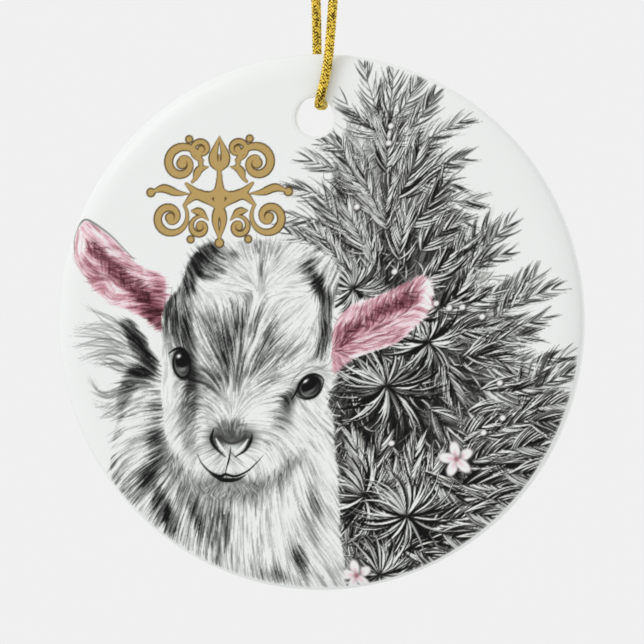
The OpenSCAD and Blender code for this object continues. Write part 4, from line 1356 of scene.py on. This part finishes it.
class ORNAMENT_OT_stage(bpy.types.Operator):
    """Set up the pale floor, the soft light and the camera"""

    bl_idname = "ornament.stage"
    bl_label = "Stage"

    def execute(self, context):
        s = context.scene.stage_settings
        aim = Vector((s.aim[0], 0, DISC_Z + s.aim[1]))
        away = Vector((math.sin(s.azimuth), -math.cos(s.azimuth), 0)) * s.distance
        deselect()
        bpy.ops.object.camera_add(location=aim + away, rotation=(math.pi / 2, 0, s.azimuth))
        camera = context.object
        camera.data.sensor_width = 36
        camera.data.lens = 36 * s.distance / s.view_height
        camera.data.clip_start = 0.01
        camera.data.clip_end = 50
        context.scene.camera = camera

        bpy.ops.mesh.primitive_circle_add(
            vertices=96, radius=1.8, fill_type="NGON", location=(0, 0, -0.35))
        floor = context.object
        floor.name = "floor"
        settle(floor)
        floor.data.materials.append(plain_material("pale_floor", (0.82, 0.82, 0.82), 0.8))

        deselect()
        place = Vector((-0.75, -0.75, 0.55))
        bpy.ops.object.light_add(type="AREA", location=place)
        light = context.object
        light.name = "key_light"
        light.data.size = 0.5
        light.data.energy = s.key
        light.rotation_euler = (aim - place).to_track_quat("-Z", "Y").to_euler()

        # A pale surround, even behind the object and dimmer in front of it and to the right.
        world = bpy.data.worlds.new("pale_surround")
        context.scene.world = world
        world.use_nodes = True
        tree = world.node_tree
        new, link = tree.nodes.new, tree.links.new
        towards = new("ShaderNodeTexCoord").outputs["Generated"]
        way = new("ShaderNodeSeparateXYZ")
        link(towards, way.inputs[0])
        slope = new("ShaderNodeVectorMath")
        slope.operation = "DOT_PRODUCT"
        slope.inputs[1].default_value = BRIGHT_WAY
        link(towards, slope.inputs[0])
        across = new("ShaderNodeMapRange")
        across.inputs["From Min"].default_value, across.inputs["From Max"].default_value = -1, 1
        across.inputs["To Min"].default_value, across.inputs["To Max"].default_value = s.dim, s.bright
        link(slope.outputs["Value"], across.inputs["Value"])
        front = new("ShaderNodeMapRange")
        front.interpolation_type = "SMOOTHSTEP"
        front.inputs["From Min"].default_value, front.inputs["From Max"].default_value = 0.6, -0.2
        link(way.outputs["Y"], front.inputs["Value"])
        level = new("ShaderNodeMix")
        level.inputs["A"].default_value = s.sky
        link(front.outputs["Result"], level.inputs["Factor"])
        link(across.outputs["Result"], level.inputs["B"])
        background = tree.nodes["Background"]
        link(level.outputs["Result"], background.inputs["Color"])
        context.scene.view_settings.view_transform = "Standard"
        return {"FINISHED"}


class VIEW3D_PT_ornament(bpy.types.Panel):
    """The ornament's settings and its pieces"""

    bl_label = "Ceramic ornament"
    bl_space_type = "VIEW_3D"
    bl_region_type = "UI"
    bl_category = "Ornament"

    def draw(self, context):
        for name, operators in GROUPS.items():
            box = self.layout.box()
            settings = getattr(context.scene, name)
            for prop in settings.bl_rna.properties.keys():
                if prop not in {"rna_type", "name"}:
                    box.prop(settings, prop)
            for operator in operators:
                box.operator(operator)


GROUPS = {
    "stage_settings": ["ornament.stage"],
    "cord_settings": ["ornament.cord"],
    "disc_settings": ["ornament.disc"],
    "picture_settings": ["ornament.picture"],
}
CLASSES = (
    CordSettings, DiscSettings, PictureSettings, StageSettings,
    ORNAMENT_OT_stage, ORNAMENT_OT_cord, ORNAMENT_OT_disc, ORNAMENT_OT_picture, VIEW3D_PT_ornament,
)


def register():
    for cls in CLASSES:
        bpy.utils.register_class(cls)
    bpy.types.Scene.cord_settings = PointerProperty(type=CordSettings)
    bpy.types.Scene.disc_settings = PointerProperty(type=DiscSettings)
    bpy.types.Scene.picture_settings = PointerProperty(type=PictureSettings)
    bpy.types.Scene.stage_settings = PointerProperty(type=StageSettings)


def unregister():
    for name in GROUPS:
        delattr(bpy.types.Scene, name)
    for cls in reversed(CLASSES):
        bpy.utils.unregister_class(cls)


def main():
    register()
    bpy.ops.ornament.stage()
    bpy.ops.ornament.cord()
    bpy.ops.ornament.disc()
    bpy.ops.ornament.picture()


if __name__ == "__main__":
    main()
